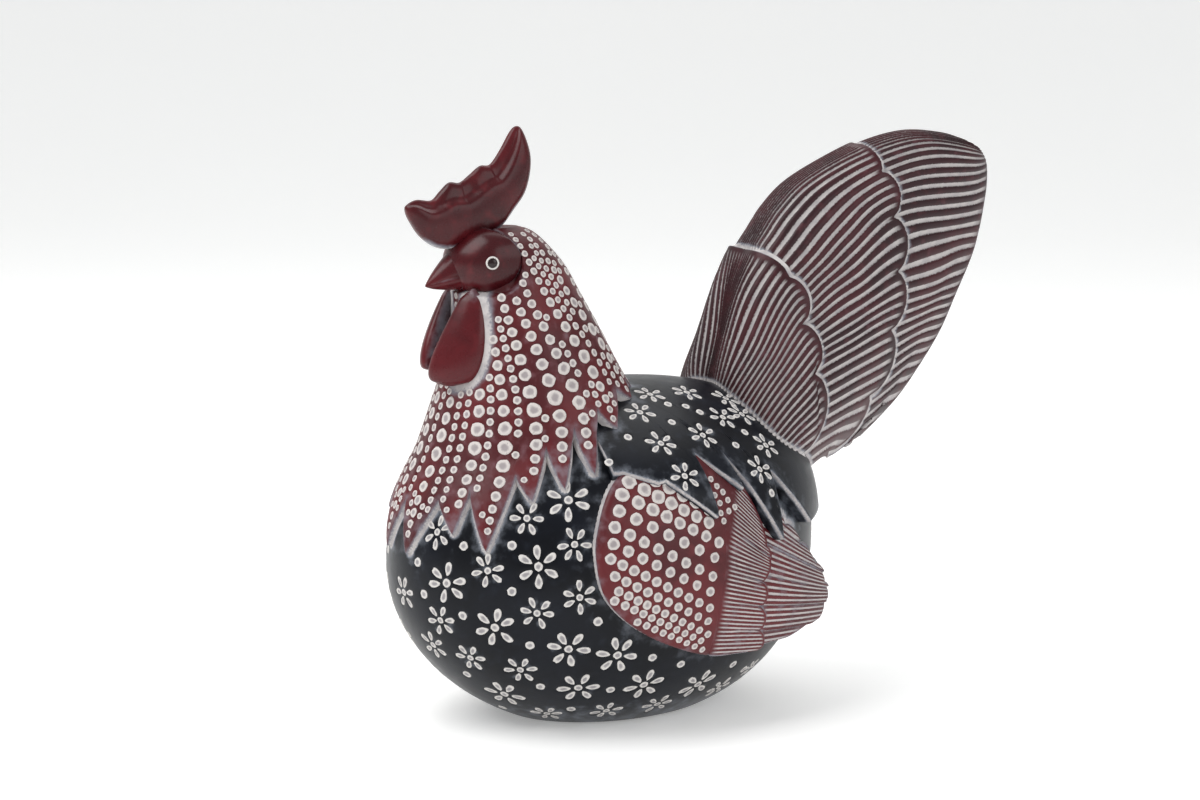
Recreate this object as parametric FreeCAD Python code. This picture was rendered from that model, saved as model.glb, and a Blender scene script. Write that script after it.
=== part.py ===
import FreeCAD, Part
import math
import os

os.makedirs("parts", exist_ok=True)
V = FreeCAD.Vector

# A sitting rooster ornament, cast in pieces that are pinned and glued together.
# Millimetres. The bird faces -Y, its left side is +X, and the origin is under the middle
# of the body, on the plane that the felt pad stands on.

# Fits
glue_gap = 0.1
overrun = 1.0

# Felt pad under the foot, set in from the foot's rim
felt_thickness = 1.0
felt_margin = 4.0

# Body: half-lengths of its widest oval, and the heights above the foot where they occur
body_half_width = 67.0
chest_reach = 89.5
rump_reach = 91.0
body_height = 130.5
foot_sink = 8.0
chest_rise = 63.0
side_rise = 59.0
rump_rise = 71.0
low_power = 1.88
rump_low_power = 2.3
top_power = 2.2
rump_top_power = 2.6
shell_wall = 9.0

# Base plate and vent plug
plate_margin = 7.0
plate_thickness = 3.0
plate_ledge = 3.0
vent_radius = 4.0
vent_lip = 2.0
vent_lip_thickness = 2.0

# Neck and hackle: half-lengths where the neck leaves the shoulders, and how it leans forward
neck_root_rise = 79.0
neck_height = 118.0
neck_front = 72.0
neck_back = 60.0
neck_side = 60.0
neck_root_lead = 14.0
neck_lean = 34.0
neck_rise_shares = [0.0, 0.128, 0.256, 0.385, 0.513, 0.641, 0.769, 0.863, 0.94, 0.98, 1.0]
neck_front_shares = [1.0, 0.89, 0.765, 0.62, 0.48, 0.37, 0.29, 0.255, 0.17, 0.12, 0.07]
neck_back_shares = [1.0, 0.9, 0.8, 0.7, 0.633, 0.575, 0.52, 0.465, 0.36, 0.26, 0.14]
neck_side_shares = [1.0, 0.9, 0.785, 0.685, 0.575, 0.5, 0.41, 0.345, 0.245, 0.15, 0.07]
neck_lean_shares = [0.0, 0.12, 0.235, 0.38, 0.53, 0.68, 0.84, 0.93, 0.98, 0.98, 0.98]
hackle_lift = 2.0
hackle_blend = 6.0
hackle_front_drop = 68.0
hackle_back_drop = 4.5
hackle_axis_lead = 30.0
hackle_fan_reach = chest_reach / 9
hackle_ring_power = 1.5
hackle_apex_rise = 16.0
tooth_drop = 59.0
tooth_turn_shares = [0.0232, 0.0842, 0.1245, 0.1734, 0.2124, 0.2511, 0.3073, 0.385, 0.44, 0.5]
tooth_drop_shares = [0.976, 0.798, 0.886, 0.566, 0.492, 0.412, 0.158, 0.017, -0.009, -0.028]
notch_turn_shares = [0.0, 0.0566, 0.0968, 0.152, 0.1938, 0.238, 0.283, 0.345, 0.413, 0.47]
notch_drop_shares = [0.63, 0.603, 0.525, 0.414, 0.237, 0.119, 0.03, -0.06, -0.1, -0.11]
plug_radius = 15.0
plug_half_length = 18.0

# Head: an egg, of which only the face shows in front of the hackle's hood
head_lead = 48.5
head_rise = 183.5
head_half_width = 16.5
head_half_length = 19.0
head_half_height = 14.5
face_lead = 58.0
face_lift = 1.5
face_half_length = 15.5
face_half_height = 12.8
head_pin_radius = 3.0
head_pin_length = 16.0

# Beak
beak_length = 16.5
beak_half_height = 8.5
beak_half_width = 7.5
beak_lead = 11.5
beak_drop = 2.5
beak_dip = 6.0
beak_rise_shares = [0.0, 0.4, 0.75, 1.0]
beak_width_shares = [1.0, 0.77, 0.43, 0.12]

# Comb: a crescent from a blunt front horn over two bumps to a tall back horn
comb_length = 55.0
comb_height = 48.0
comb_lead = 85.7
comb_rise = 189.0
comb_half_thickness = 6.0
comb_top_shares = [(0.03, 0.385), (0.11, 0.41), (0.22, 0.4), (0.29, 0.47), (0.36, 0.535),
                   (0.44, 0.53), (0.52, 0.59), (0.6, 0.655), (0.68, 0.665), (0.76, 0.78),
                   (0.83, 0.91), (0.88, 0.985)]
comb_low_shares = [(0.01, 0.33), (0.05, 0.24), (0.13, 0.11), (0.24, 0.02), (0.36, 0.0),
                   (0.5, 0.04), (0.63, 0.08), (0.75, 0.15), (0.85, 0.28), (0.95, 0.44),
                   (0.99, 0.68), (0.945, 0.92)]
comb_thick_shares = [0.3, 0.62, 0.86, 0.95, 1.0, 1.0, 1.0, 1.0, 0.98, 0.9, 0.75, 0.4]
comb_pin_radius = 1.5
comb_pin_half_length = 7.0
comb_pin_spread = 4.0

# Wattles: teardrops that hang from the throat
wattle_side = 10.5
wattle_lead = 66.5
wattle_turn = 41.0
wattle_half_length = 12.0
wattle_half_thickness = 5.5
wattle_rise = 174.0
left_wattle_drop = 36.0
right_wattle_drop = 32.0
wattle_drop_shares = [0.0, 0.12, 0.3, 0.5, 0.68, 0.83, 0.93, 0.985]
wattle_length_shares = [0.3, 0.4, 0.6, 0.84, 1.0, 0.95, 0.7, 0.28]

# Eyes: a bead in a raised ring
eye_lead = 55.2
eye_rise = 184.5
eye_ring_radius = 2.7
eye_bead_radius = 1.7
eye_depth = 2.0
eye_proud = 0.6

# Wings: a layer over the side of the body whose rear lower end stands off from it
wing_proud = 4.0
wing_flare = 29.0
wing_flare_low = 45.0
wing_flare_high = 81.0
wing_lead = 35.5
wing_length = 118.0
wing_drop = 92.0
wing_top_rise = 118.0
wing_edge_shares = [(0.13, 0.879), (0.07, 0.8), (0.025, 0.69), (0.0, 0.55), (0.03, 0.36), (0.16, 0.2),
                    (0.38, 0.07), (0.55, 0.035), (0.68, 0.035), (0.81, 0.05), (0.93, 0.095)]
wing_tip_shares = [(0.93, 0.095), (0.965, 0.185), (0.95, 0.285), (0.91, 0.385), (0.855, 0.48),
                   (0.785, 0.57), (0.7, 0.66)]
wing_top_shares = [(0.68, 0.86), (0.56, 0.92), (0.42, 0.93), (0.28, 0.93)]
feather_bulge_share = 0.22
covert_line_shares = [(0.46, 1.1), (0.466, 0.77), (0.459, 0.48), (0.434, 0.3), (0.4, -0.1)]
wing_thickness = 7.5
wing_pin_radius = 3.0
wing_pin_reach = 3.0
wing_pin_rise = 74.0

# Saddle: the cape over the back, whose saw-tooth edge lies over the wings
saddle_lift = 2.0
saddle_skirt = 6.0
saddle_skirt_low = 96.0
saddle_skirt_high = 126.0
saddle_front = 20.0
saddle_length = 94.0
saddle_drop = 60.0
saddle_tip_shares = [(0.13, 0.46), (0.378, 0.713), (0.532, 0.56), (0.731, 0.937), (0.958, 0.892)]
saddle_notch_shares = [(0.0, 0.39), (0.165, 0.45), (0.343, 0.325), (0.485, 0.347), (0.71, 0.483)]

# Tail: lens-shaped sections from the leading edge to the trailing edge, root to tip
tail_root_reach = 41.0
tail_root_rise = 83.0
tail_length = 144.0
tail_height = 143.0
tail_half_thickness = 33.0
tail_wall = 5.0
tail_edge_half_thickness = 2.0
tail_lead_shares = [(0.055, 0.19), (0.07, 0.32), (0.099, 0.44), (0.132, 0.57), (0.172, 0.67),
                    (0.213, 0.736), (0.257, 0.8), (0.33, 0.868), (0.455, 0.93),
                    (0.585, 0.978), (0.708, 1.0), (0.826, 0.99), (0.905, 0.965)]
tail_trail_shares = [(0.305, -0.1), (0.41, 0.0), (0.549, 0.091), (0.6875, 0.203), (0.778, 0.308),
                     (0.847, 0.406), (0.896, 0.503), (0.951, 0.615), (0.975, 0.69),
                     (0.99, 0.76), (1.0, 0.832), (0.995, 0.895), (0.965, 0.94)]
tail_thick_shares = [1.0, 1.0, 0.88, 0.76, 0.66, 0.58, 0.51, 0.44, 0.385, 0.33, 0.26, 0.19, 0.12]
mid_lift = 2.0
inner_lift = 4.0
mid_cusp_shares = [(0.46, 0.985), (0.564, 0.894), (0.592, 0.763), (0.609, 0.605), (0.591, 0.437),
                   (0.533, 0.249), (0.4, 0.1), (0.25, -0.1)]
inner_cusp_shares = [(0.04, 0.65), (0.227, 0.619), (0.241, 0.49), (0.27, 0.35), (0.235, 0.13),
                     (0.15, -0.1)]
scallop_bulge_share = 0.3
tail_pin_radius = 4.0
tail_pin_half_length = 14.0
tail_pin_reach = 62.0
tail_pin_spread = 18.0

# Counts
oval_points = 24
body_sections = 13
hackle_points = 40
hackle_sections = 15
tail_points = 28

across = V(1, 0, 0)
foot_z = felt_thickness
body_top = foot_z + body_height


def lobe(z, low, middle, high, power_low, power_high):
    """Share of the full half-length at height z: one at middle, nought at low and high."""
    if z > middle:
        share, power = (z - middle) / (high - middle), power_high
    else:
        share, power = (middle - z) / (middle - low), power_low
    share = min(1.0, abs(share))
    return (1 - share ** power) ** (1 / power)


def ramp(z, start, end):
    """Smooth step from nought at start to one at end."""
    share = min(1.0, max(0.0, (z - start) / (end - start)))
    return share * share * (3 - 2 * share)


def body_halves(z, grow):
    """Front, back and side half-lengths of the body grown by a distance, at height z."""
    low = foot_z - foot_sink - grow
    high = body_top + grow
    front = (chest_reach + grow) * lobe(z, low, foot_z + chest_rise, high, low_power, top_power)
    back = (rump_reach + grow) * lobe(z, low, foot_z + rump_rise, high, rump_low_power,
                                      rump_top_power)
    side = (body_half_width + grow) * lobe(z, low, foot_z + side_rise, high, low_power, top_power)
    return front, back, side


def wing_halves(z, grow):
    """The body grown by a distance, with its rear flared outwards low down."""
    front, back, side = body_halves(z, grow)
    flare = wing_flare * (1 - ramp(z, foot_z + wing_flare_low, foot_z + wing_flare_high))
    return front, back - wing_proud + flare, side


def saddle_halves(z, grow):
    """The body grown by a distance, with a skirt that stands out over the wings."""
    front, back, side = body_halves(z, grow)
    skirt = saddle_skirt * (1 - ramp(z, foot_z + saddle_skirt_low, foot_z + saddle_skirt_high))
    return front + skirt, back, side + skirt


def closed_curve(points):
    """A smooth closed wire through points."""
    curve = Part.BSplineCurve()
    curve.interpolate(Points=points, PeriodicFlag=True)
    return Part.Wire(curve.toShape())


def oval(z, front, back, side):
    """An oval wire at height z whose front and back halves differ in length."""
    points = []
    for step in range(oval_points):
        angle = 2 * math.pi * (step + 0.5) / oval_points
        reach = front if math.cos(angle) > 0 else back
        points.append(V(side * math.sin(angle), -reach * math.cos(angle), z))
    return closed_curve(points)


def round_form(halves, grow, low):
    """A closed form of ovals, from height low to just under its top."""
    bottom = foot_z - foot_sink - grow
    top = body_top + grow
    start = math.acos(1 - 2 * (low - bottom) / (top - bottom))
    end = math.pi * (1 - 0.4 / body_sections)
    wires = []
    for step in range(body_sections):
        angle = start + (end - start) * step / (body_sections - 1)
        z = bottom + (top - bottom) * (1 - math.cos(angle)) / 2
        wires.append(oval(z, *halves(z, grow)))
    return Part.makeLoft(wires, True)


def smooth_share(places, shares, place):
    """Value at place of a smooth curve through a table, level with its neighbours' slopes."""
    last = len(places) - 1
    place = min(places[last], max(places[0], place))
    index = 0
    while index < last - 1 and place > places[index + 1]:
        index += 1

    def slope(at):
        before, after = max(0, at - 1), min(last, at + 1)
        return (shares[after] - shares[before]) / (places[after] - places[before])

    width = places[index + 1] - places[index]
    t = (place - places[index]) / width
    rise = 3 * t * t - 2 * t * t * t
    value = shares[index] + (shares[index + 1] - shares[index]) * rise
    value += width * slope(index) * (t - 2 * t * t + t * t * t)
    return value + width * slope(index + 1) * (t * t * t - t * t)


def inside_oval(x, y, halves):
    """Less than one inside the oval with these half-lengths."""
    front, back, side = halves
    reach = front if y < 0 else back
    if reach <= 0 or side <= 0:
        return 2.0
    return (x / side) ** 2 + (y / reach) ** 2


def in_lifted_body(point):
    return inside_oval(point.x, point.y, body_halves(point.z, hackle_lift)) < 1


def in_neck(point):
    share = (point.z - foot_z - neck_root_rise) / neck_height
    if share > neck_rise_shares[-1]:
        return False
    front = neck_front * smooth_share(neck_rise_shares, neck_front_shares, share)
    back = neck_back * smooth_share(neck_rise_shares, neck_back_shares, share)
    side = neck_side * smooth_share(neck_rise_shares, neck_side_shares, share)
    lead = neck_root_lead + neck_lean * smooth_share(neck_rise_shares, neck_lean_shares, share)
    return inside_oval(point.x, point.y + lead, (front, back, side)) < 1


def reach_inside(test, centre, direction, furthest):
    """How far a ray from the centre stays inside a form, or nought if it starts outside."""
    if not test(centre):
        return 0.0
    near, far = 0.0, furthest
    for _ in range(18):
        middle = (near + far) / 2
        if test(centre + direction * middle):
            near = middle
        else:
            far = middle
    return near


def hackle_form():
    """Neck and shoulders as rings in a fan of planes, low at the breast and high at the back.

    In each direction the ring's radius is the neck's or the lifted body's, whichever is more,
    with a soft change between them.
    """
    fan_front, fan_back = -chest_reach, hackle_fan_reach
    top = foot_z + neck_root_rise + neck_height * neck_rise_shares[-1]
    front_low = body_top - hackle_front_drop
    back_low = body_top - hackle_back_drop
    rings = []
    for step in range(hackle_sections):
        share = step / (hackle_sections - 1)
        front_z = front_low + (top - front_low) * share
        back_z = back_low + (top - back_low) * share ** hackle_ring_power
        tilt = (back_z - front_z) / (fan_back - fan_front)
        rise = (front_z + back_z) / 2 - foot_z - neck_root_rise
        centre_y = -neck_root_lead - neck_lean * smooth_share(
            neck_rise_shares, neck_lean_shares, rise / neck_height)
        centre = V(0, centre_y, front_z + tilt * (centre_y - fan_front))
        ring = []
        for turn in range(hackle_points):
            angle = 2 * math.pi * (turn + 0.5) / hackle_points
            across, along = math.sin(angle), math.cos(angle)
            direction = V(across, along, tilt * along)
            direction.normalize()
            body = reach_inside(in_lifted_body, centre, direction, 2 * chest_reach)
            neck = reach_inside(in_neck, centre, direction, 2 * chest_reach)
            blend = max(0.0, hackle_blend - abs(body - neck)) / hackle_blend
            radius = max(body, neck) + hackle_blend * blend * blend / 4
            ring.append(centre + direction * radius)
        rings.append(closed_curve(ring))
    return Part.makeLoft(rings, True)


def face(points):
    return Part.Face(Part.makePolygon(points + points[:1]))


def tooth_crown():
    """Everything above the zigzag edge of the hackle, as flat wedges round the neck's axis."""
    apex = V(0, -hackle_axis_lead, body_top + hackle_apex_rise)
    top = body_top + 2 * neck_height

    def on_surface(turn_share, drop_share):
        z = body_top - tooth_drop * drop_share
        angle = 2 * math.pi * turn_share
        direction = V(math.sin(angle), -math.cos(angle), 0)
        start = V(0, -hackle_axis_lead, z)
        reach = max(reach_inside(test, start, direction, 2 * chest_reach)
                    for test in (in_lifted_body, in_neck))
        return start + direction * reach

    half = []
    for index in range(len(tooth_turn_shares)):
        half.append((notch_turn_shares[index], notch_drop_shares[index]))
        half.append((tooth_turn_shares[index], tooth_drop_shares[index]))
    other_half = [(1 - turn, drop) for turn, drop in half[-2:0:-1]]
    rim = [on_surface(turn, drop) for turn, drop in half + other_half]
    far = [apex + (point - apex) * 2.5 for point in rim]
    high = [V(point.x, point.y, top) for point in far]
    faces = []
    for index in range(len(far)):
        other = (index + 1) % len(far)
        faces.append(face([apex, far[index], far[other]]))
        faces.append(face([far[index], far[other], high[other], high[index]]))
    faces.append(face(high))
    return Part.makeSolid(Part.makeShell(faces))


def main_solid(shape):
    """The largest solid, without the crumbs that a cut may leave."""
    return max(shape.Solids, key=lambda solid: solid.Volume)


def both_sides(half):
    """A left half joined to its mirror image at the middle plane."""
    return main_solid(half.fuse(half.mirror(V(0, 0, 0), across)))


def cut_in_turn(shape, tools):
    """The shape without each of the tools, taken away one after another."""
    for tool in tools:
        shape = shape.cut(tool)
    return main_solid(shape)


def cylinder(radius, start, end):
    return Part.makeCylinder(radius, (end - start).Length, start, end - start)


def egg(centre, half_x, half_y, half_z):
    """An egg with three half-lengths."""
    matrix = FreeCAD.Matrix()
    matrix.scale(half_x, half_y, half_z)
    matrix.move(centre)
    return Part.makeSphere(1).transformGeometry(matrix)


def oval_block(front, back, half_width, low, high):
    """An upright block with an elliptical outline, between two heights."""
    half_length = (front + back) / 2
    shape = egg(V(0, (back - front) / 2, 0), half_width, half_length, high - low)
    outline = shape.slice(V(0, 0, 1), 0)[0]
    block = Part.Face(outline).extrude(V(0, 0, high - low))
    block.translate(V(0, 0, low))
    return block


def side_prism(edges, start_x, end_x):
    """A block with an outline drawn in the side view, between two distances from the middle."""
    outline = Part.Face(Part.Wire(edges))
    block = outline.extrude(V(end_x - start_x, 0, 0))
    block.translate(V(start_x, 0, 0))
    return block


def side_points(shares, start_y, start_z, length, height):
    return [V(0, start_y + length * y_share, start_z + height * z_share)
            for y_share, z_share in shares]


def lines(points):
    return [Part.makeLine(start, end) for start, end in zip(points, points[1:])]


def scallops(points, bulge_share):
    """Arcs from cusp to cusp that bulge to the right of the way they run."""
    arcs = []
    for start, end in zip(points, points[1:]):
        chord = end - start
        sideways = V(0, chord.z, -chord.y) * bulge_share
        arcs.append(Part.Arc(start, (start + end) * 0.5 - sideways, end).toShape())
    return arcs


# Body, its base plate, plug and felt pad
torso = round_form(body_halves, 0, foot_z)
cavity_floor = foot_z - foot_sink + shell_wall
cavity_low = max(cavity_floor + shell_wall / 10, foot_z + plate_thickness + plate_ledge)
cavity = round_form(body_halves, -shell_wall, cavity_low)
foot_front, foot_back, foot_side = body_halves(foot_z, 0)
plate_outline = (foot_front - plate_margin, foot_back - plate_margin, foot_side - plate_margin)
hole_outline = [reach - plate_ledge for reach in plate_outline]
base_plate = oval_block(*[reach - glue_gap for reach in plate_outline],
                        foot_z, foot_z + plate_thickness)
plate_seat = oval_block(*plate_outline, foot_z - overrun, foot_z + plate_thickness)
body_hole = oval_block(*hole_outline, foot_z, cavity_low + shell_wall)
foot_middle = (foot_back - foot_front) / 2
vent_start = V(0, foot_middle, foot_z)
plate_top = V(0, foot_middle, foot_z + plate_thickness)
vent_plug = cylinder(vent_radius, vent_start, plate_top)
vent_plug = vent_plug.fuse(cylinder(vent_radius + vent_lip, plate_top,
                                    plate_top + V(0, 0, vent_lip_thickness)))
base_plate = base_plate.cut(cylinder(vent_radius + glue_gap, vent_start - V(0, 0, overrun),
                                     plate_top + V(0, 0, overrun)))
felt_pad = oval_block(foot_front - felt_margin, foot_back - felt_margin,
                      foot_side - felt_margin, 0, foot_z)

# Spigot between body and neck, and the neck casting
neck_axis_z = body_top - hackle_lift
plug_low = V(0, -hackle_axis_lead, neck_axis_z - plug_half_length)
plug_high = V(0, -hackle_axis_lead, neck_axis_z + plug_half_length)
neck_plug = cylinder(plug_radius, plug_low, plug_high)
plug_bore = cylinder(plug_radius + glue_gap, plug_low - V(0, 0, shell_wall), plug_high)
neck_form = hackle_form()
hackle = neck_form.common(tooth_crown())

# Head, with its face as a plug in the hackle's hood
head_egg = egg(V(0, -head_lead, foot_z + head_rise), head_half_width, head_half_length,
               head_half_height)
face_centre = V(0, -face_lead, foot_z + head_rise + face_lift)
face_block = egg(face_centre, head_half_width, face_half_length, face_half_height)
face_outline = Part.Face(face_block.slice(V(1, 0, 0), 0)[0])
face_block = face_outline.extrude(V(4 * head_half_width, 0, 0))
face_block.translate(V(-2 * head_half_width, 0, 0))
head_front = Part.makeBox(4 * head_half_width, 2 * head_half_length, 4 * head_half_height,
                          V(-2 * head_half_width, -face_lead - 2 * head_half_length,
                            foot_z + head_rise - 2 * head_half_height))
head_zone = face_block.fuse(head_front)
head = main_solid(head_egg.common(head_zone))
pin_z = foot_z + head_rise + face_lift
face_back = face_half_length - face_lead
head_pin_start = V(0, face_back - head_pin_length / 2, pin_z)
head_pin_end = V(0, face_back + head_pin_length / 2, pin_z)
head_pin = cylinder(head_pin_radius, head_pin_start, head_pin_end)
head_bore = cylinder(head_pin_radius + glue_gap, head_pin_start, head_pin_end)
hackle = main_solid(hackle.cut([torso, head_zone, plug_bore, head_bore]))


def beak_form():
    """Upright ovals that shrink from inside the face to the tip."""
    wires = []
    for rise, width in zip(beak_rise_shares, beak_width_shares):
        centre = V(0, -head_lead - beak_lead - beak_length * rise,
                   foot_z + head_rise - beak_drop - beak_dip * rise ** 1.5)
        points = []
        for step in range(oval_points):
            angle = 2 * math.pi * (step + 0.5) / oval_points
            points.append(centre + V(beak_half_width * width * math.sin(angle), 0,
                                     beak_half_height * width * math.cos(angle)))
        wires.append(closed_curve(points))
    return Part.makeLoft(wires, True)


def comb_form():
    """Ovals across the comb, each from a point of its low edge to a point of its top edge."""
    start_y, start_z = -comb_lead, foot_z + comb_rise
    tops = side_points(comb_top_shares, start_y, start_z, comb_length, comb_height)
    lows = side_points(comb_low_shares, start_y, start_z, comb_length, comb_height)
    wires = []
    for top, low, thick in zip(tops, lows, comb_thick_shares):
        centre, half = (top + low) * 0.5, (top - low) * 0.5
        points = []
        for step in range(oval_points):
            angle = 2 * math.pi * (step + 0.5) / oval_points
            across = V(comb_half_thickness * thick * math.sin(angle), 0, 0)
            points.append(centre + half * math.cos(angle) + across)
        wires.append(closed_curve(points))
    middle = len(wires) // 2
    return Part.makeLoft(wires[:middle + 1], True).fuse(Part.makeLoft(wires[middle:], True))


def wattle_form(side, drop):
    """Level ovals, turned along the throat, that swell and close as the wattle hangs down."""
    turn = math.radians(wattle_turn)
    wires = []
    for fall, width in zip(wattle_drop_shares, wattle_length_shares):
        points = []
        for step in range(oval_points):
            angle = 2 * math.pi * (step + 0.5) / oval_points
            thick = wattle_half_thickness * width * math.sin(angle)
            long = -wattle_half_length * width * math.cos(angle)
            out, away = math.cos(turn) * thick, math.sin(turn) * thick
            points.append(V(side * (wattle_side + math.sin(turn) * long + out),
                            -wattle_lead + math.cos(turn) * long - away,
                            foot_z + wattle_rise - drop * fall))
        wires.append(closed_curve(points))
    return Part.makeLoft(wires, True)


def eye_form(side, gap):
    """A ring seated in the head, with a domed bead in its middle."""
    height = (eye_rise - head_rise) / head_half_height
    length = (eye_lead - head_lead) / head_half_length
    surface = head_half_width * math.sqrt(1 - height ** 2 - length ** 2)
    start = V(side * (surface - eye_depth), -eye_lead, foot_z + eye_rise)
    end = V(side * (surface + eye_proud), -eye_lead, foot_z + eye_rise)
    ring = cylinder(eye_ring_radius + gap, start, end)
    bead = Part.makeSphere(eye_bead_radius, end - V(side * eye_bead_radius / 2, 0, 0))
    return ring.fuse(bead)


beak = main_solid(beak_form().cut([head, hackle]))
comb_pins, comb_bores = [], []
for side in (-1, 1):
    pin_y = -face_lead + (side + 1) * comb_pin_spread
    pin_middle = foot_z + head_rise + head_half_height
    start = V(0, pin_y, pin_middle - comb_pin_half_length)
    end = V(0, pin_y, pin_middle + comb_pin_half_length)
    comb_pins.append(cylinder(comb_pin_radius, start, end))
    comb_bores.append(cylinder(comb_pin_radius + glue_gap, start, end))
comb = main_solid(comb_form().cut([head, hackle, beak] + comb_bores))
eyes = [eye_form(side, 0) for side in (-1, 1)]
eye_seats = [eye_form(side, glue_gap) for side in (-1, 1)]
head_blank = head
head = main_solid(head.cut([head_bore] + comb_bores + eye_seats))
hackle = main_solid(hackle.cut(comb_bores))
left_wattle = main_solid(wattle_form(1, left_wattle_drop).cut([head_blank, hackle, beak]))
right_wattle = main_solid(wattle_form(-1, right_wattle_drop).cut([head_blank, hackle, beak]))

# Tail: core and two scalloped tiers that wrap its leading edge
tail_base = (tail_root_reach, foot_z + tail_root_rise, tail_length, tail_height)


def tail_section(lead, trail, half_thickness, edge_half_thickness):
    """A lens with a blunt leading edge and a thin trailing edge, across the tail."""
    points = []
    for step in range(tail_points):
        angle = 2 * math.pi * (step + 0.5) / tail_points
        along = (1 - math.cos(angle)) / 2
        belly = math.sqrt(along) * (1 - along) * math.sqrt(27) / 2
        half = half_thickness * belly + edge_half_thickness * abs(math.sin(angle))
        side = V(math.copysign(half, math.sin(angle)), 0, 0)
        points.append(lead + (trail - lead) * along + side)
    return closed_curve(points)


def tail_form(lift, lead_inset, trail_inset, first, last):
    """Sections from root to tip, lifted by a distance and drawn in at their two edges."""
    leads = side_points(tail_lead_shares, *tail_base)
    trails = side_points(tail_trail_shares, *tail_base)
    wires = []
    for lead, trail, thick in list(zip(leads, trails, tail_thick_shares))[first:last]:
        along = (trail - lead).normalize()
        wires.append(tail_section(lead + along * lead_inset, trail - along * trail_inset,
                                  tail_half_thickness * thick + lift, tail_edge_half_thickness))
    return Part.makeLoft(wires, True)


def tier_zone(cusp_shares):
    """The side-view region on the leading side of a row of scallops."""
    cusps = side_points(cusp_shares, *tail_base)
    low_z = foot_z
    corner_low = V(0, cusps[-1].y, low_z)
    corner_front = V(0, 0, low_z)
    corner_top = V(0, 0, cusps[0].z)
    edges = scallops(cusps, scallop_bulge_share)
    edges += lines([cusps[-1], corner_low, corner_front, corner_top, cusps[0]])
    return side_prism(edges, 0, 2 * tail_half_thickness)


core_form = tail_form(0, 0, 0, 0, None)
mid_form = tail_form(mid_lift, -mid_lift, 0, 0, 11)
inner_form = tail_form(inner_lift, -inner_lift, 0, 0, 8)
tail_hollow = tail_form(-2 * tail_wall, tail_wall, 2 * tail_wall, 2, 9)
mid_zone = tier_zone(mid_cusp_shares)
inner_zone = tier_zone(inner_cusp_shares)
mid_blank = mid_form.common(mid_zone)
inner_blank = inner_form.common(inner_zone)
tail_mid = both_sides(cut_in_turn(mid_blank, [core_form, torso]))
tail_inner = both_sides(cut_in_turn(inner_blank, [mid_form, torso]))

# Tail pins, square to the back where the tail sits on it


def back_height(reach):
    """Height of the middle of the back at a distance behind the body's middle."""
    share = (1 - (reach / rump_reach) ** rump_top_power) ** (1 / rump_top_power)
    return foot_z + rump_rise + (body_height - rump_rise) * share


tail_pins, tail_bores = [], []
for pin in (0, 1):
    reach = tail_pin_reach + pin * tail_pin_spread
    middle = V(0, reach, back_height(reach))
    along = V(0, tail_pin_spread, back_height(reach - tail_pin_spread / 2)
              - back_height(reach + tail_pin_spread / 2))
    outward = V(0, along.z, along.y)
    outward.normalize()
    start = middle - outward * tail_pin_half_length
    end = middle + outward * tail_pin_half_length
    tail_pins.append(cylinder(tail_pin_radius, start, end))
    tail_bores.append(cylinder(tail_pin_radius + glue_gap, start - outward * shell_wall, end))
tail_core = main_solid(core_form.cut([torso, tail_hollow] + tail_bores))

# Left wing
wing_base = (-wing_lead, foot_z + wing_top_rise - wing_drop, wing_length, wing_drop)
wing_form = round_form(wing_halves, wing_proud, foot_z + foot_sink)
edge = side_points(wing_edge_shares, *wing_base)
tips = side_points(wing_tip_shares, *wing_base)
edge_curve = Part.BSplineCurve()
edge_curve.interpolate(Points=edge)
wing_outline = [edge_curve.toShape()]
wing_outline += scallops(tips, -feather_bulge_share)
wing_outline += lines([tips[-1]] + side_points(wing_top_shares, *wing_base) + [edge[0]])
wing_zone = side_prism(wing_outline, 0, 2 * body_half_width)
wing_blank = wing_form.common(wing_zone)
hollow = round_form(wing_halves, wing_proud - wing_thickness, foot_z + foot_sink)
wing_pin_z = foot_z + wing_pin_rise
pin_in = body_half_width - shell_wall
pin_out = body_half_width + wing_proud - wing_pin_reach / 2
wing_pins = [cylinder(wing_pin_radius, V(side * pin_in, 0, wing_pin_z),
                      V(side * pin_out, 0, wing_pin_z)) for side in (-1, 1)]
wing_bores = [cylinder(wing_pin_radius + glue_gap, V(side * (pin_in - shell_wall), 0, wing_pin_z),
                       V(side * pin_out, 0, wing_pin_z)) for side in (-1, 1)]
wing = cut_in_turn(wing_blank, [torso, hollow, hackle] + wing_bores)
line = side_points(covert_line_shares, *wing_base)
covert_curve = Part.BSplineCurve()
covert_curve.interpolate(Points=line)
front_low = V(0, -2 * wing_lead, line[-1].z)
front_high = V(0, -2 * wing_lead, line[0].z)
covert_zone = side_prism([covert_curve.toShape()] + lines([line[-1], front_low, front_high,
                                                           line[0]]), 0, 2 * body_half_width)
coverts = main_solid(wing.common(covert_zone))
flights = main_solid(wing.cut(covert_zone))

# Saddle, over the back and over the tops of the wings
saddle_form = round_form(saddle_halves, saddle_lift, foot_z + rump_rise / 2)
saddle_base = (-saddle_front, body_top - saddle_drop, saddle_length, saddle_drop)
tips = side_points([(y, 1 - z) for y, z in saddle_tip_shares], *saddle_base)
notches = side_points([(y, 1 - z) for y, z in saddle_notch_shares], *saddle_base)
saw = []
for notch, tip in zip(notches, tips):
    saw += [notch, tip]
rear = V(0, tail_root_reach + tail_length / 2, foot_z + tail_root_rise)
saw += [rear, V(0, rear.y, body_top + shell_wall), V(0, -saddle_front, body_top + shell_wall)]
saddle_zone = side_prism(lines(saw + saw[:1]), 0, 2 * body_half_width)
neighbours = [torso, hackle, inner_blank, mid_blank, core_form, wing]
saddle_half = cut_in_turn(saddle_form.common(saddle_zone), neighbours)
saddle = both_sides(saddle_half)

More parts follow.
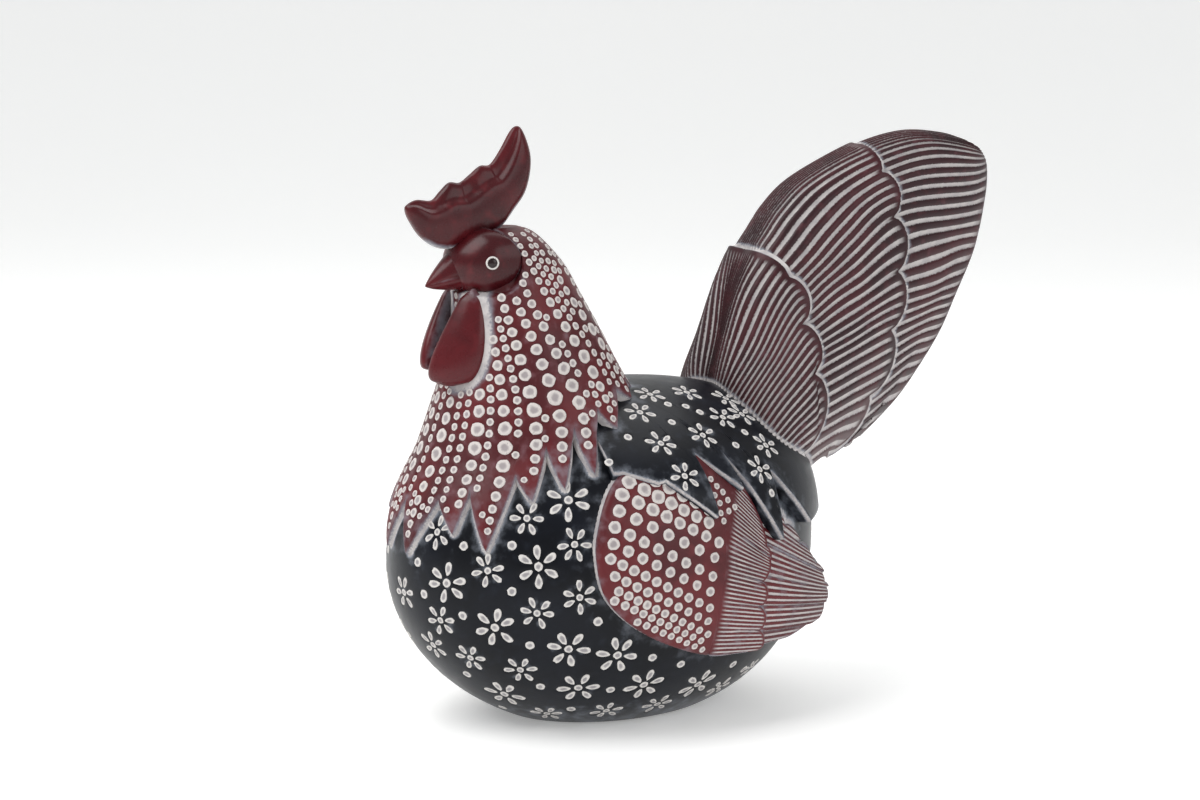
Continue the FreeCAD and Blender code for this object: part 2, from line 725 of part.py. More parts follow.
body_shell = main_solid(torso.cut([cavity, body_hole, plate_seat, plug_bore] + wing_bores
                                  + tail_bores))

nodes = {
    "felt_pad": [felt_pad],
    "base_plate": [base_plate],
    "vent_plug": [vent_plug],
    "body_shell": [body_shell],
    "neck_plug": [neck_plug],
    "neck_hackle": [hackle],
    "head": [head],
    "head_dowel": [head_pin],
    "beak": [beak],
    "comb": [comb],
    "comb_dowels": comb_pins,
    "left_wattle": [left_wattle],
    "right_wattle": [right_wattle],
    "left_eye": [eyes[1]],
    "right_eye": [eyes[0]],
    "left_wing_coverts": [coverts],
    "right_wing_coverts": [coverts.mirror(V(0, 0, 0), across)],
    "left_wing_flights": [flights],
    "right_wing_flights": [flights.mirror(V(0, 0, 0), across)],
    "wing_dowels": wing_pins,
    "saddle_hackle": [saddle],
    "tail_core": [tail_core],
    "tail_mid_tier": [tail_mid],
    "tail_inner_tier": [tail_inner],
    "tail_dowels": tail_pins,
}
for name, solids in nodes.items():
    shape = solids[0] if len(solids) == 1 else Part.makeCompound(solids)
    shape.exportStep("parts/" + name + ".step")
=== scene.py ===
import bpy
import math
import numpy as np
from mathutils import Matrix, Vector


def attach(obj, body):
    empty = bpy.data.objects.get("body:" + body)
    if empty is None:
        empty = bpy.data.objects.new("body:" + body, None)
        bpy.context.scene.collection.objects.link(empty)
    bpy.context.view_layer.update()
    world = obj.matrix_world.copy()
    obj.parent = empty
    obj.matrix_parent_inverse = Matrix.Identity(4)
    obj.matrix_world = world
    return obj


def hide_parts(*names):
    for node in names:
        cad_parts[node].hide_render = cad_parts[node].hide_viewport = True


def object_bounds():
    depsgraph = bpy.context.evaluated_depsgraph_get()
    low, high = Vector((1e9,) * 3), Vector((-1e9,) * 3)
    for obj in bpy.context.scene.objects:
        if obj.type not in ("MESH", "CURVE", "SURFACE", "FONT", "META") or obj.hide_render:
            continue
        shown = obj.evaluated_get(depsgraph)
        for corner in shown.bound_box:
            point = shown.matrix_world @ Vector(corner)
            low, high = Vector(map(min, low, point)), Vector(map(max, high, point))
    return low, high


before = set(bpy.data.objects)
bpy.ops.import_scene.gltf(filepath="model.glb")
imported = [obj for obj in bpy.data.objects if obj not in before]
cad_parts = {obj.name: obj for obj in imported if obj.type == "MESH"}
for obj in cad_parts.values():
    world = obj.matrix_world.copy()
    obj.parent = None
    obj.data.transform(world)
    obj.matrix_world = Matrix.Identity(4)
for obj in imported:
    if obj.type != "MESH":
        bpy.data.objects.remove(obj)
cad_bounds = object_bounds()

# A sitting rooster ornament of cast resin, painted, with whitewash left in its cuts.
# Lengths are millimetres until a mesh is made; the bird faces -Y and its left side is +X.
MM = 0.001
rng = np.random.default_rng(7)

# Camera of the photograph
photo_azimuth, photo_elevation = 62.0, 10.0
photo_distance, photo_scale = 1300.0, 2.5
photo_aim = np.array([0.0, 0.0, 125.0])
photo_middle = np.array([600.0, 400.0])
sensor_width, photo_width, clip_end = 36.0, 1200, 100.0
# Furthest that rays are followed inside a form, and lines of sight before and behind the aim
ray_length, sight_reach = 200.0, 160

# Body
foot_z = 1.0
body_half_width, chest_reach, rump_reach, body_height = 67.0, 89.5, 91.0, 130.5
foot_sink, chest_rise, side_rise, rump_rise = 8.0, 63.0, 59.0, 71.0
low_power, rump_low_power, top_power, rump_top_power = 1.95, 2.3, 2.2, 2.6
plate_margin, plate_thickness = 7.0, 3.0
body_top = foot_z + body_height

# Neck and hackle
neck_root_rise, neck_height = 79.0, 118.0
neck_front, neck_back, neck_side, neck_root_lead, neck_lean = 72.0, 60.0, 60.0, 14.0, 34.0
neck_rise_shares = [0.0, 0.128, 0.256, 0.385, 0.513, 0.641, 0.769, 0.863, 0.94, 0.98, 1.0]
neck_front_shares = [1.0, 0.89, 0.765, 0.62, 0.48, 0.37, 0.29, 0.255, 0.17, 0.12, 0.07]
neck_back_shares = [1.0, 0.9, 0.79, 0.675, 0.61, 0.565, 0.52, 0.465, 0.36, 0.26, 0.14]
neck_side_shares = [1.0, 0.9, 0.785, 0.685, 0.575, 0.49, 0.385, 0.315, 0.24, 0.15, 0.07]
neck_lean_shares = [0.0, 0.12, 0.235, 0.38, 0.53, 0.68, 0.84, 0.93, 0.98, 0.98, 0.98]
hackle_lift, hackle_blend, hackle_axis_lead, tooth_drop = 2.0, 6.0, 30.0, 59.0
tooth_turn_shares = [0.0232, 0.0842, 0.1245, 0.1734, 0.2124, 0.2511, 0.3073, 0.385, 0.44, 0.5]
tooth_drop_shares = [0.976, 0.798, 0.886, 0.566, 0.492, 0.412, 0.158, 0.017, -0.009, -0.028]
notch_turn_shares = [0.0, 0.0566, 0.0968, 0.152, 0.1938, 0.238, 0.283, 0.345, 0.413, 0.47]
notch_drop_shares = [0.63, 0.603, 0.525, 0.414, 0.237, 0.119, 0.03, -0.06, -0.1, -0.11]
crown_share, hood_sink, hood_low_z = 0.995, 5.0, 165.0

# Head, beak, comb, wattles and eyes
head_lead, head_rise = 48.5, 183.5
head_half_width, head_half_length, head_half_height = 16.5, 19.0, 14.5
face_lead, face_lift, face_half_length, face_half_height = 58.0, 1.5, 15.5, 12.8
head_fullness, head_cover = 0.8, 0.16
beak_length, beak_half_height, beak_half_width = 16.5, 8.5, 7.5
beak_lead, beak_drop, beak_dip = 11.5, 2.5, 6.0
beak_rise_shares = [0.0, 0.4, 0.75, 1.0]
beak_width_shares = [1.0, 0.77, 0.43, 0.12]
comb_length, comb_height, comb_lead, comb_rise, comb_half_thickness = 55.0, 48.0, 85.7, 189.0, 6.0
comb_top_shares = [(0.03, 0.385), (0.11, 0.41), (0.22, 0.4), (0.29, 0.47), (0.36, 0.535),
                   (0.44, 0.53), (0.52, 0.59), (0.6, 0.655), (0.68, 0.665), (0.76, 0.78),
                   (0.83, 0.91), (0.88, 0.985)]
comb_low_shares = [(0.01, 0.33), (0.05, 0.24), (0.13, 0.11), (0.24, 0.02), (0.36, 0.0),
                   (0.5, 0.04), (0.63, 0.08), (0.75, 0.15), (0.85, 0.28), (0.95, 0.44),
                   (0.99, 0.68), (0.945, 0.92)]
comb_thick_shares = [0.3, 0.62, 0.86, 0.95, 1.0, 1.0, 1.0, 1.0, 0.98, 0.9, 0.75, 0.4]
wattle_side, wattle_lead, wattle_turn, wattle_rise = 10.5, 66.5, 41.0, 173.0
wattle_half_length, wattle_half_thickness = 12.0, 5.5
wattle_drops = {"left": 37.0, "right": 33.0}
wattle_drop_shares = [0.0, 0.12, 0.3, 0.5, 0.68, 0.83, 0.93, 0.985]
wattle_length_shares = [0.3, 0.44, 0.62, 0.78, 0.87, 0.85, 0.68, 0.28]
wattle_sweep, wattle_tuck = 12.6, 6.0
eye_lead, eye_rise, eye_ring_radius, eye_bead_radius = 55.2, 184.5, 2.6, 1.9

# Wings
wing_proud, wing_flare, wing_flare_low, wing_flare_high = 4.0, 29.0, 45.0, 81.0
wing_lead, wing_length, wing_drop, wing_top_rise = 35.5, 118.0, 92.0, 118.0
wing_edge_shares = [(0.13, 0.879), (0.07, 0.8), (0.025, 0.69), (0.0, 0.55), (0.03, 0.36),
                    (0.16, 0.2), (0.38, 0.07), (0.55, 0.035), (0.68, 0.035), (0.81, 0.05),
                    (0.93, 0.095)]
wing_tip_shares = [(0.93, 0.095), (0.965, 0.185), (0.95, 0.285), (0.91, 0.385), (0.855, 0.48),
                   (0.785, 0.57), (0.7, 0.66)]
wing_top_shares = [(0.68, 0.86), (0.56, 0.92), (0.42, 0.93), (0.28, 0.93)]
covert_line_shares = [(0.46, 1.1), (0.466, 0.77), (0.459, 0.48), (0.434, 0.3), (0.4, -0.1)]
wing_thickness, feather_bulge_share = 7.5, 0.22
inner_pitch, outer_pitch, outer_sink, wing_cut_depth = 1.65, 2.05, 1.8, 0.3

# Saddle
saddle_lift, saddle_skirt, saddle_skirt_low, saddle_skirt_high = 2.0, 6.0, 96.0, 126.0
saddle_front, saddle_length, saddle_drop = 20.0, 94.0, 60.0
saddle_tip_shares = [(0.13, 0.46), (0.378, 0.713), (0.532, 0.56), (0.731, 0.937), (0.958, 0.892)]
saddle_notch_shares = [(0.0, 0.39), (0.165, 0.45), (0.343, 0.325), (0.485, 0.347), (0.71, 0.483)]

# Tail
tail_root_reach, tail_root_rise, tail_length, tail_height = 41.0, 83.0, 144.0, 143.0
tail_half_thickness, tail_edge_half_thickness = 33.0, 2.0
tail_lead_shares = [(0.055, 0.19), (0.07, 0.32), (0.099, 0.44), (0.132, 0.57), (0.172, 0.67),
                    (0.213, 0.736), (0.257, 0.8), (0.33, 0.868), (0.455, 0.93),
                    (0.585, 0.978), (0.708, 1.0), (0.826, 0.99), (0.905, 0.965)]
tail_trail_shares = [(0.305, -0.1), (0.41, 0.0), (0.549, 0.091), (0.6875, 0.203), (0.778, 0.308),
                     (0.847, 0.406), (0.896, 0.503), (0.951, 0.615), (0.975, 0.69),
                     (0.99, 0.76), (1.0, 0.832), (0.995, 0.895), (0.965, 0.94)]
tail_thick_shares = [1.0, 1.0, 0.88, 0.76, 0.66, 0.58, 0.51, 0.44, 0.385, 0.33, 0.26, 0.19, 0.12]
mid_lift, inner_lift, scallop_bulge_share = 2.0, 4.0, 0.31
last_station, tip_stations, foot_reach, tail_cut_depth = 12.0, 0.4, 6.0, 0.75
mid_cusp_shares = [(0.46, 0.985), (0.564, 0.894), (0.592, 0.763), (0.609, 0.605), (0.591, 0.437),
                   (0.533, 0.249), (0.4, 0.1), (0.25, -0.1)]
inner_cusp_shares = [(0.04, 0.65), (0.227, 0.619), (0.241, 0.49), (0.27, 0.35), (0.235, 0.13),
                     (0.15, -0.1)]

# Rib lines of the tail, root to trailing edge, as picture pixels: the first three points of a
# line lie on the inner tier, the next three on the middle tier and the rest on the core.
rib_pixels = [
    [(707.5, 383.8), (720, 322.5), (752.5, 255), (760, 245),
     (800, 192.5), (860, 155), (932.5, 138), (976.3, 147.5)],
    [(726.3, 390), (752.5, 342.5), (783.8, 282.5), (802.5, 270),
     (845, 222.5), (895, 185), (945, 175.5), (983.8, 171.3)],
    [(756.3, 417.5), (782.5, 380), (810, 342.5), (820, 335),
     (857.5, 310), (902.5, 282.5), (945, 267.5), (962.5, 260)],
    [(775, 437.5), (795, 415), (815, 392.5), (820, 380),
     (850, 362.5), (890, 340), (920, 325), (937.5, 317.5)],
    [(790, 457.5), (802.5, 447.5), (815, 437.5), (820, 432.5),
     (845, 417.5), (870, 405), (895, 385), (902.5, 380)],
]
rib_numbers = [0.0, 5.0, 10.0, 18.0, 23.0, 28.0, 31.0]

# Middles of the flowers and dots, as pixels of the picture: on the body, on the saddle, and the
# dots of the wing above its rows
large_flowers = [(568.5, 500), (446.5, 583.3), (538.5, 566.8), (494.8, 627.8), (568.5, 649.3),
                 (617.5, 655.5), (504.3, 694.3), (578.3, 688), (644, 685), (698, 684.5)]
medium_flowers = [(526.8, 518.3), (574.8, 544.3), (487.5, 570.8), (579.8, 597.5), (440.3, 620.5),
                  (537, 613.5), (470.3, 658), (433, 645), (403.8, 592.5), (520.3, 670),
                  (606.3, 710.8), (657.5, 704.3), (546.8, 713.8), (718.8, 687.5), (437, 532)]
small_flowers = [(750, 667.5), (807.5, 505)]
body_dots = [(417.5, 562.3), (423.8, 594.3), (463.5, 546), (511.8, 545.5), (511.8, 591.8),
             (462.3, 615.8), (598, 621.8), (529.8, 645.5), (466.8, 674.3), (540.5, 686.8),
             (610.5, 690), (571, 709.3), (652.5, 657.8), (681, 664.3), (733.3, 664.5),
             (743.8, 669.5), (502.5, 707.5)]
saddle_flowers = [(640, 412), (650, 394), (687, 392), (723, 417), (661, 443), (703, 435),
                  (766, 445), (760, 469), (685, 476), (726, 398), (742, 414)]
saddle_dots = [(686, 406), (672, 422), (628, 437), (736, 445), (745, 432), (772, 493), (706, 380),
               (668, 404), (700, 412), (609, 462)]
high_wing_dots = [(711, 479), (717, 486), (715, 495), (723, 492), (720, 503), (728, 500),
                  (735, 507), (721, 513), (729, 511), (724, 521)]
# Sizes of the flowers' shapes and of the single dots, and how deep they are punched
large_size, medium_size, small_size, saddle_size = 1.08, 0.86, 0.62, 0.82
heart_half_length, heart_half_width, petal_reach = 1.55, 1.5, 5.2
petal_half_length, petal_half_width, petal_taper = 2.55, 1.25, 0.28
body_dot_radius, saddle_dot_radius, high_dot_radius = 1.75, 1.6, 1.25
punch_depth, hackle_punch_depth, dish_turns = 0.4, 0.45, 14
# Least gaps between flowers and between dots, and their margins to the other castings
large_gap, medium_gap, saddle_gap, dot_gap, saddle_dot_gap = 13.0, 12.0, 9.0, 9.0, 8.0
fill_gap, fill_margin, fill_tries = 15.5, 6.0, 9000
few_gap, few_margin, few_tries = 9.3, 3.0, 5000
# Rows of dots on the left wing: first pixel, last pixel, how many
wing_rows = [((640, 471), (721, 516), 7), ((629.5, 481.8), (721.3, 528.8), 8),
             ((622.5, 494.5), (719.3, 542.5), 8), ((600.5, 501.8), (715, 557.5), 8),
             ((598, 519), (713, 576.3), 9), ((597, 536), (710.5, 591.8), 9),
             ((597.3, 552.5), (710, 608), 11), ((602.5, 570.5), (708.3, 621.3), 11),
             ((608, 586.3), (708, 634.5), 12), ((615, 601), (709, 644.5), 12),
             ((628, 618), (710, 653), 11), ((648, 636), (706, 658), 8)]


def lobe(z, low, middle, high, power_low, power_high):
    """Share of the full half-length at height z: (1 - s ** power) ** (1 / power), s from middle."""
    above = z > middle
    share = np.where(above, (z - middle) / (high - middle), (middle - z) / (middle - low))
    power = np.where(above, power_high, power_low)
    return (1 - np.clip(np.abs(share), 0, 1) ** power) ** (1 / power)


def ramp(value, start, end):
    """Smooth step from nought at start to one at end."""
    share = np.clip((value - start) / (end - start), 0, 1)
    return share * share * (3 - 2 * share)


def body_halves(z, grow=0.0):
    """Front, back and side half-lengths of the body's oval at height z."""
    low, high = foot_z - foot_sink - grow, body_top + grow
    front = (chest_reach + grow) * lobe(z, low, foot_z + chest_rise, high, low_power, top_power)
    back = (rump_reach + grow) * lobe(z, low, foot_z + rump_rise, high, rump_low_power,
                                      rump_top_power)
    side = (body_half_width + grow) * lobe(z, low, foot_z + side_rise, high, low_power, top_power)
    return front, back, side


def wing_halves(z, grow):
    """The body grown by a distance, with its rear flared outwards low down."""
    front, back, side = body_halves(z, grow)
    flare = wing_flare * (1 - ramp(z, foot_z + wing_flare_low, foot_z + wing_flare_high))
    return front, back - wing_proud + flare, side


def saddle_halves(z, grow):
    """The body grown by a distance, with a skirt that stands out over the wings."""
    front, back, side = body_halves(z, grow)
    skirt = saddle_skirt * (1 - ramp(z, foot_z + saddle_skirt_low, foot_z + saddle_skirt_high))
    return front + skirt, back, side + skirt


def circle(count):
    return np.linspace(0, 2 * np.pi, count, endpoint=False)


def curve(places, table, at):
    """Smooth values of a table at places, level with its neighbours' slopes."""
    places, table = np.asarray(places, float), np.asarray(table, float)
    flat = table.ndim == 1
    if flat:
        table = table[:, None]
    at = np.clip(at, places[0], places[-1])
    index = np.clip(np.searchsorted(places, at, side="right") - 1, 0, len(places) - 2)
    before, after = np.maximum(index - 1, 0), np.minimum(index + 2, len(places) - 1)
    width = (places[index + 1] - places[index])[..., None]
    slope0 = (table[index + 1] - table[before]) / (places[index + 1] - places[before])[..., None]
    slope1 = (table[after] - table[index]) / (places[after] - places[index])[..., None]
    t = (at - places[index])[..., None] / width
    rise = 3 * t ** 2 - 2 * t ** 3
    value = table[index] * (1 - rise) + table[index + 1] * rise
    value += width * (slope0 * (t - 2 * t ** 2 + t ** 3) + slope1 * (t ** 3 - t ** 2))
    return value[..., 0] if flat else value


def oval_value(halves, grow):
    """A function of points that is one on the form, less inside: (x / side)^2 + (y / reach)^2."""
    def value(points):
        x, y, z = points[..., 0], points[..., 1], points[..., 2]
        front, back, side = halves(z, grow)
        reach = np.where(y < 0, front, back)
        return (x / np.maximum(side, 0.01)) ** 2 + (y / np.maximum(reach, 0.01)) ** 2
    return value


def neck_lead(z):
    share = (z - foot_z - neck_root_rise) / neck_height
    return neck_root_lead + neck_lean * curve(neck_rise_shares, neck_lean_shares, share)


def neck_value(points):
    """One on the neck's surface, less inside: ovals that shrink and lean forward with height."""
    x, z = points[..., 0], points[..., 2]
    share = (z - foot_z - neck_root_rise) / neck_height
    y = points[..., 1] + neck_lead(z)
    front = neck_front * curve(neck_rise_shares, neck_front_shares, share)
    back = neck_back * curve(neck_rise_shares, neck_back_shares, share)
    side = neck_side * curve(neck_rise_shares, neck_side_shares, share)
    value = (x / side) ** 2 + (y / np.where(y < 0, front, back)) ** 2
    return np.where(share > 1.0, 4.0, value)


body_value = oval_value(body_halves, 0.0)
lifted_value = oval_value(body_halves, hackle_lift)
wing_value = oval_value(wing_halves, wing_proud)
saddle_value = oval_value(saddle_halves, saddle_lift)


def unit(vectors):
    return vectors / np.maximum(np.linalg.norm(vectors, axis=-1, keepdims=True), 1e-9)


def flattened(vectors, normals):
    """Unit vectors without their share along the normals."""
    return unit(vectors - normals * (vectors * normals).sum(-1, keepdims=True))


def skirt(edge, away, normals, steps):
    """Copies of an edge, each moved away by the first number and sunk by the second."""
    return [edge + away * out - normals * down for out, down in steps]


def most(*values):
    """The greatest of several arrays, point by point."""
    result = values[0]
    for value in values[1:]:
        result = np.maximum(result, value)
    return result


def smooth_line(points, count):
    """A smooth line of count places through points."""
    return curve(np.arange(len(points)), points, np.linspace(0, len(points) - 1, count))


def halve(inside, near, far, steps):
    """Bracket the places where lines leave a form, halving the gap between near and far."""
    for _ in range(steps):
        middle = (near + far) / 2
        within = inside(middle)
        near, far = np.where(within, middle, near), np.where(within, far, middle)
    return near, far


def reach_out(value, centres, directions):
    """How far each ray from a centre stays inside a form."""
    start = np.zeros(directions.shape[:-1])
    near, _ = halve(lambda depth: value(centres + directions * depth[..., None]) < 1,
                    start, start + ray_length, 24)
    return np.where(value(centres + directions * 0) < 1, near, 0.0)


def slope(value, points):
    """Gradient of a form's function by small steps."""
    parts = []
    for axis in np.eye(3) * 0.02:
        parts.append((value(points + axis) - value(points - axis)) / 0.04)
    return np.stack(parts, -1)


def settle(value, points):
    """Points moved on to a form along its gradient, and the outward normals there."""
    for _ in range(5):
        steep = slope(value, points)
        excess = (value(points) - 1) / np.maximum((steep ** 2).sum(-1), 1e-12)
        points = points - steep * excess[..., None]
    return points, unit(slope(value, points))


azimuth, elevation = math.radians(photo_azimuth), math.radians(photo_elevation)
to_right = np.array([math.cos(azimuth), math.sin(azimuth), 0.0])
to_camera = np.array([math.sin(azimuth) * math.cos(elevation),
                      -math.cos(azimuth) * math.cos(elevation), math.sin(elevation)])
to_top = np.cross(to_camera, to_right)
camera_place = photo_aim + to_camera * photo_distance


def pixel_of(points):
    """Where points show in the photograph, in pixels."""
    offset = points - camera_place
    scale = photo_scale * photo_distance / -(offset @ to_camera)
    return np.stack([photo_middle[0] + scale * (offset @ to_right),
                     photo_middle[1] - scale * (offset @ to_top)], -1)


def seen(value, pixels):
    """First point of a form along each pixel's line of sight; lines that miss are dropped."""
    pixels = np.asarray(pixels, float)
    away = (pixels - photo_middle) / (photo_scale * photo_distance)
    lines = unit(to_right * away[:, :1] - to_top * away[:, 1:] - to_camera)
    depths = np.arange(photo_distance - sight_reach, photo_distance + sight_reach, 1.0)
    inside = value(camera_place + lines[:, None] * depths[None, :, None]) < 1
    hit = inside.any(1)
    far, lines = depths[inside.argmax(1)][hit], lines[hit]
    _, far = halve(lambda depth: value(camera_place + lines * depth[:, None]) >= 1,
                   far - 1.0, far, 14)
    return camera_place + lines * far[:, None]


def linear(code):
    """Linear colour from a hex code of screen colour."""
    channels = [int(code[i:i + 2], 16) / 255 for i in (1, 3, 5)]
    return [c / 12.92 if c <= 0.04045 else ((c + 0.055) / 1.055) ** 2.4 for c in channels] + [1.0]


def add(tree, kind, inputs=None, **settings):
    """A node with settings and inputs; an input that is a socket is linked."""
    node = tree.nodes.new(kind)
    for key, value in settings.items():
        setattr(node, key, value)
    for key, value in (inputs or {}).items():
        if isinstance(value, bpy.types.NodeSocket):
            tree.links.new(value, node.inputs[key])
        else:
            node.inputs[key].default_value = value
    return node


def calc(tree, operation, *values):
    return add(tree, "ShaderNodeMath", dict(enumerate(values)), operation=operation).outputs[0]


def between(tree, value, start, end):
    """Smooth step of a socket from nought at start to one at end."""
    node = add(tree, "ShaderNodeMapRange", {"Value": value, "From Min": start, "From Max": end},
               interpolation_type="SMOOTHSTEP")
    return node.outputs[0]


def blend_colours(tree, amount, first, second):
    return add(tree, "ShaderNodeMix", {0: amount, 6: first, 7: second}, data_type="RGBA").outputs[2]


def attribute(tree, name):
    return add(tree, "ShaderNodeAttribute", attribute_name=name).outputs["Fac"]


def speckle(tree, size, detail=3.0):
    """Noise whose lumps are about size millimetres across."""
    place = add(tree, "ShaderNodeTexCoord").outputs["Object"]
    return add(tree, "ShaderNodeTexNoise", {"Vector": place, "Scale": 1 / (size * MM),
                                            "Detail": detail}).outputs["Fac"]


def start_material(name):
    material = bpy.data.materials.new(name)
    material.use_nodes = True
    material.node_tree.nodes.clear()
    return material, material.node_tree


def end_material(tree, settings, height=None, strength=0.3, distance=0.1):
    """Principled surface with these inputs, and a bump in millimetres where height is given."""
    if height is not None:
        bump = add(tree, "ShaderNodeBump", {"Strength": strength, "Distance": distance * MM,
                                            "Height": height})
        settings["Normal"] = bump.outputs[0]
    shader = add(tree, "ShaderNodeBsdfPrincipled", settings)
    add(tree, "ShaderNodeOutputMaterial", {"Surface": shader.outputs[0]})


def painted(name, colour, deep, worn, rough, coat=0.0, shine=0.3, cut_low=0.15, cut_high=0.26):
    """Paint over cast resin. Attributes: wash is whitewash left in corners, rib counts cuts across
    the surface with one at each half, and cut is how far the cuts show."""
    material, tree = start_material(name)
    large, middle, fine = speckle(tree, 28.0), speckle(tree, 5.0, 4.0), speckle(tree, 0.8, 4.0)
    paint = blend_colours(tree, between(tree, large, 0.38, 0.62), linear(colour), linear(deep))
    wear = calc(tree, "MULTIPLY", between(tree, middle, 0.5, 0.75), 0.55)
    paint = blend_colours(tree, wear, paint, linear(worn))
    uneven, grit = (calc(tree, "SUBTRACT", noise, 0.5) for noise in (middle, fine))
    left = attribute(tree, "wash")
    rough_left = calc(tree, "ADD", left, calc(tree, "MULTIPLY", uneven, 0.9))
    hazy = calc(tree, "MULTIPLY", between(tree, rough_left, 0.1, 0.75), 0.75)
    hazy = calc(tree, "MULTIPLY", hazy, between(tree, left, 0.0, 0.12))
    paint = blend_colours(tree, hazy, paint, linear("#8d929c"))
    grain = calc(tree, "ADD", left, calc(tree, "MULTIPLY", grit, 0.8))
    chalk = calc(tree, "MULTIPLY", between(tree, grain, 0.55, 0.95), between(tree, left, 0.2, 0.5))
    waver = calc(tree, "MULTIPLY", grit, 0.16)
    phase = calc(tree, "FRACT", calc(tree, "ADD", attribute(tree, "rib"), waver))
    off = calc(tree, "ABSOLUTE", calc(tree, "SUBTRACT", phase, 0.5))
    stripe = calc(tree, "SUBTRACT", 1.0, between(tree, off, cut_low, cut_high))
    stripe = calc(tree, "MULTIPLY", stripe, attribute(tree, "cut"))
    thin = calc(tree, "ADD", 0.74, calc(tree, "MULTIPLY", middle, 0.4))
    stripe = calc(tree, "MULTIPLY", stripe, thin)
    white = calc(tree, "MAXIMUM", chalk, stripe)
    chalk_colour = blend_colours(tree, between(tree, middle, 0.3, 0.7), linear("#c9c4c2"),
                                 linear("#aaa5a6"))
    paint = blend_colours(tree, white, paint, chalk_colour)
    roughness = calc(tree, "ADD", rough, calc(tree, "MULTIPLY", white, 0.35))
    roughness = calc(tree, "ADD", roughness, calc(tree, "MULTIPLY", uneven, 0.18))
    height = calc(tree, "SUBTRACT", calc(tree, "MULTIPLY", fine, 0.25),
                  calc(tree, "MULTIPLY", stripe, 1.5))
    end_material(tree, {"Base Color": paint, "Roughness": roughness, "Specular IOR Level": shine,
                        "Coat Weight": coat, "Coat Roughness": 0.18}, height, 0.5, 0.22)
    return material


def chalky(name, rim, shaded_middle_colour):
    """Whitewash pooled in a punched dot, paler at its rim; the greyer middle is painted shade of
    the hollow.
    """
    material, tree = start_material(name)
    fine, middle = speckle(tree, 0.7, 4.0), speckle(tree, 2.2, 3.0)
    uneven = calc(tree, "MULTIPLY", calc(tree, "SUBTRACT", middle, 0.5), 0.9)
    ring = calc(tree, "ADD", attribute(tree, "ring"), uneven)
    # painted shade: each dot is greyed from its rim towards its middle
    colour = blend_colours(tree, between(tree, ring, 0.15, 0.8), linear(shaded_middle_colour), linear(rim))
    colour = blend_colours(tree, between(tree, fine, 0.58, 0.8), colour, linear("#8b8584"))
    end_material(tree, {"Base Color": colour, "Roughness": 0.72}, fine, 0.4, 0.12)
    return material


def plain(name, light, dark, size, rough, stretch=1.0, glow=0.0):
    """A plain material with a soft variation of the given size in millimetres."""
    material, tree = start_material(name)
    place = add(tree, "ShaderNodeTexCoord").outputs["Object"]
    spread = add(tree, "ShaderNodeVectorMath", {0: place, 1: (1.0, stretch, stretch)},
                 operation="MULTIPLY").outputs[0]
    noise = add(tree, "ShaderNodeTexNoise", {"Vector": spread, "Scale": 1 / (size * MM),
                                             "Detail": 4.0})
    colour = blend_colours(tree, between(tree, noise.outputs["Fac"], 0.35, 0.65), linear(light),
                           linear(dark))
    end_material(tree, {"Base Color": colour, "Roughness": rough, "Emission Color": linear(light),
                        "Emission Strength": glow}, noise.outputs["Fac"], 0.4, 0.1)
    return material


# Painted cold-cast resin: satin navy paint, almost black, with a pale haze where wash was wiped
navy = painted("navy_painted_resin", "#090b11", "#0f121a", "#181c25", 0.34, shine=0.18)
# Painted cold-cast resin: satin dark red paint worn to brown, for the hackle and wings
red = painted("dark_red_painted_resin", "#5f1b20", "#4a161b", "#6d2a2e", 0.42)
# Painted cold-cast resin: browner, darker red paint between the cuts of the tail
maroon = painted("maroon_painted_resin", "#3d1219", "#290d13", "#511a21", 0.42, cut_low=0.13,
                 cut_high=0.23)
# Painted cold-cast resin under gloss varnish: oxblood comb and wattles
gloss = painted("varnished_oxblood_resin", "#541319", "#3c0d12", "#641b21", 0.28, coat=0.1,
                shine=0.25)
# Lime whitewash pooled in punched dots and petals, their middles greyed as painted shade
chalk = chalky("whitewash", "#d3cfcb", "#938f91")
# Lime whitewash, the greyer kind in the dots of the hackle and the wings, their middles greyed as
# painted shade
pale = chalky("whitewash_dots", "#cec7c3", "#9a9293")
# Gloss enamel of the pupil
pupil = painted("enamel", "#2a0b0e", "#1c0709", "#3a1216", 0.12, coat=0.3)
# Needle felt, pressed board, turned beech and black rubber under and inside the casting
felt = plain("felt", "#1a1a1c", "#0e0e10", 0.6, 0.95)
board = plain("pressed_board", "#8a6a48", "#6d5238", 1.5, 0.8)
beech = plain("beech_dowel", "#c2a077", "#a9875f", 4.0, 0.6, 6.0)
rubber = plain("rubber", "#1c1c1c", "#141414", 2.0, 0.6)
backdrop = plain("matt_backdrop", "#f4f4f3", "#f3f3f2", 400.0, 0.9, glow=0.3)


